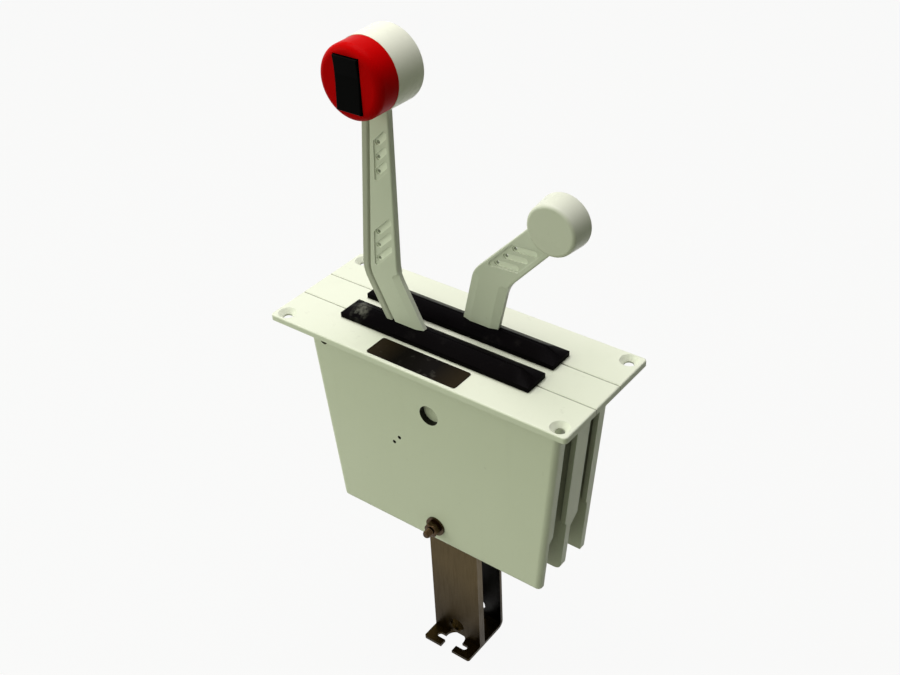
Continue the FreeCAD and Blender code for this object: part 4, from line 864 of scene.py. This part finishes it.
# %%
FINISH = {
    white_paint: ("near_side_casting", "centre_casting", "far_side_casting"),
    throttle_paint: ("throttle_lever_arm",),
    cover_plastic: ("throttle_wire_cover",),
    shift_paint: ("shift_lever_arm",),
    label_black: ("label_plate",),
    white_plastic: ("throttle_knob_body",),
    grey_plastic: ("shift_knob",),
    red_plastic: ("throttle_knob_cap", "idle_switch_button"),
    black_plastic: ("trim_rocker", "trim_switch_body", "idle_switch_body"),
    seal_rubber: ("near_slot_seal", "far_slot_seal"),
    tarnished_steel: ("lower_cross_bolt", "lower_cross_nut", "lower_washers"),
    stainless: ("pivot_shaft", "upper_tie_rods", "throttle_clevis_pin", "shift_clevis_pin", "throttle_knob_screws",
                "shift_knob_screw", "trim_rocker_pin", "brake_adjuster_screw", "brake_lock_nut", "detent_sleeve",
                "detent_plunger", "idle_switch_screws"),
    bracket_steel: ("cable_bracket_body", "cable_bracket_front_plate", "throttle_cable_trunnion",
                    "shift_cable_trunnion"),
    cap_plastic: ("pivot_end_caps",),
    bare_aluminium: ("upper_spacers", "lower_spacers", "throttle_brake_disc", "shift_detent_disc"),
    bearing_plastic: ("throttle_hub_bush", "shift_hub_bush"),
    brake_lining: ("brake_shoe",),
    spring_steel: ("detent_spring", "idle_switch_terminals"),
}
for material, names in FINISH.items():
    for name in names:
        for slot in nodes[name].material_slots:
            slot.material = material
print("finished nodes:", sum(len(v) for v in FINISH.values()), "of", len(nodes))

# %% [markdown]
# ## Floor and surround
# The object stands in a plain pale studio. A bright backdrop would pour light on it and wash it out. So the
# surround is dim for the light that falls on the object, and white only for the camera and for what mirrors or
# lets light through. The floor keeps a little of its true shading, so that it still shows a shadow.

# %%
FLOOR_GAP, FLOOR_HALF = 1.5 * MM, 30.0
FLOOR_WHITE, WORLD_WHITE = 0.93, 1.0


def white_to_the_eye(tree, plain, output, amount):
    """The camera, and what mirrors or lets light through, see a white surround; diffuse rays the plain one."""
    rays = tree.nodes.new("ShaderNodeLightPath")
    seen = tree.nodes.new("ShaderNodeEmission")
    shiny, either, share = (tree.nodes.new("ShaderNodeMath") for _ in range(3))
    shiny.operation = either.operation = "MAXIMUM"
    share.operation, share.inputs[1].default_value = "MULTIPLY", amount
    mix = tree.nodes.new("ShaderNodeMixShader")
    wire(tree, rays.outputs["Is Glossy Ray"], shiny.inputs[0])
    wire(tree, rays.outputs["Is Transmission Ray"], shiny.inputs[1])
    wire(tree, rays.outputs["Is Camera Ray"], either.inputs[0])
    wire(tree, shiny.outputs[0], either.inputs[1])
    wire(tree, either.outputs[0], share.inputs[0])
    wire(tree, share.outputs[0], mix.inputs["Fac"])
    wire(tree, plain, mix.inputs[1])
    wire(tree, seen.outputs[0], mix.inputs[2])
    wire(tree, mix.outputs[0], output)


floor = bpy.data.objects.new("floor", bpy.data.meshes.new("floor"))
bm = bmesh.new()
bmesh.ops.create_grid(bm, x_segments=1, y_segments=1, size=FLOOR_HALF)
bm.to_mesh(floor.data)
bm.free()
floor.location.z = cad_low.z - FLOOR_GAP
scene.collection.objects.link(floor)
pale = base_material("floor_pale", (0.27, 0.28, 0.22), 0.9)
white_to_the_eye(pale.node_tree, shader_of(pale).outputs[0],
                 pale.node_tree.nodes["Material Output"].inputs["Surface"], FLOOR_WHITE)
floor.data.materials.append(pale)
print("floor at", round(floor.location.z, 4))

# %% [markdown]
# ### Sky
# Light that comes from all round is stronger from the upper left and nearly gone from the lower right. Several
# big lamps could do it. One world whose strength follows the direction does it with no edges: the dot product
# of the direction with the bright side gives the fall-off.

# %%
SKY_COLOUR = (0.90, 1.0, 0.70, 1.0)
BRIGHT_SIDE = (-0.66, -0.3, 0.69)
FADE_START, SKY_LOW, SKY_HIGH = -0.15, 0.01, 0.68

world = bpy.data.worlds.new("studio")
scene.world = world
world.use_nodes = True
tree = world.node_tree
sky = tree.nodes["Background"]
sky.inputs["Color"].default_value = SKY_COLOUR
look = tree.nodes.new("ShaderNodeTexCoord")
lean = tree.nodes.new("ShaderNodeVectorMath")
lean.operation = "DOT_PRODUCT"
lean.inputs[1].default_value = BRIGHT_SIDE
fall = tree.nodes.new("ShaderNodeMapRange")
fall.inputs["From Min"].default_value = FADE_START
fall.inputs["To Min"].default_value = SKY_LOW
fall.inputs["To Max"].default_value = SKY_HIGH
wire(tree, look.outputs["Generated"], lean.inputs[0])
wire(tree, lean.outputs["Value"], fall.inputs["Value"])
wire(tree, fall.outputs["Result"], sky.inputs["Strength"])
white_to_the_eye(tree, sky.outputs[0], tree.nodes["World Output"].inputs["Surface"], WORLD_WHITE)
print("sky strength from", SKY_LOW, "to", SKY_HIGH)

# %% [markdown]
# ### Lamps
# Three square lamps give soft shadows: a strong one nearly overhead, so the flange is the brightest face, and two
# weak ones from the left and the front, so the near wall and the knobs keep their shape. The Standard view
# shows each colour about as it is written.

# %%
def soft_light(name, spot, target, width, watts, colour):
    lamp = bpy.data.objects.new(name, bpy.data.lights.new(name, "AREA"))
    lamp.data.shape = "SQUARE"
    lamp.data.size = width
    lamp.data.energy = watts
    lamp.data.color = colour
    lamp.location = spot
    lamp.rotation_euler = (Vector(target) - Vector(spot)).to_track_quat("-Z", "Y").to_euler()
    scene.collection.objects.link(lamp)


soft_light("top_light", (-0.3, 0.15, 1.5), (0, 0, 0), 1.2, 22.0, (1.0, 0.94, 0.99))
soft_light("left_light", (-1.3, -0.9, 0.7), (0, 0, 0), 0.8, 4.3, (0.96, 1.0, 0.86))
soft_light("front_light", (-0.4, -1.6, 0.3), (0, 0, -0.05), 1.0, 3.2, (0.93, 1.0, 0.80))
scene.view_settings.view_transform = "Standard"
print("lamps:", len(bpy.data.lights))
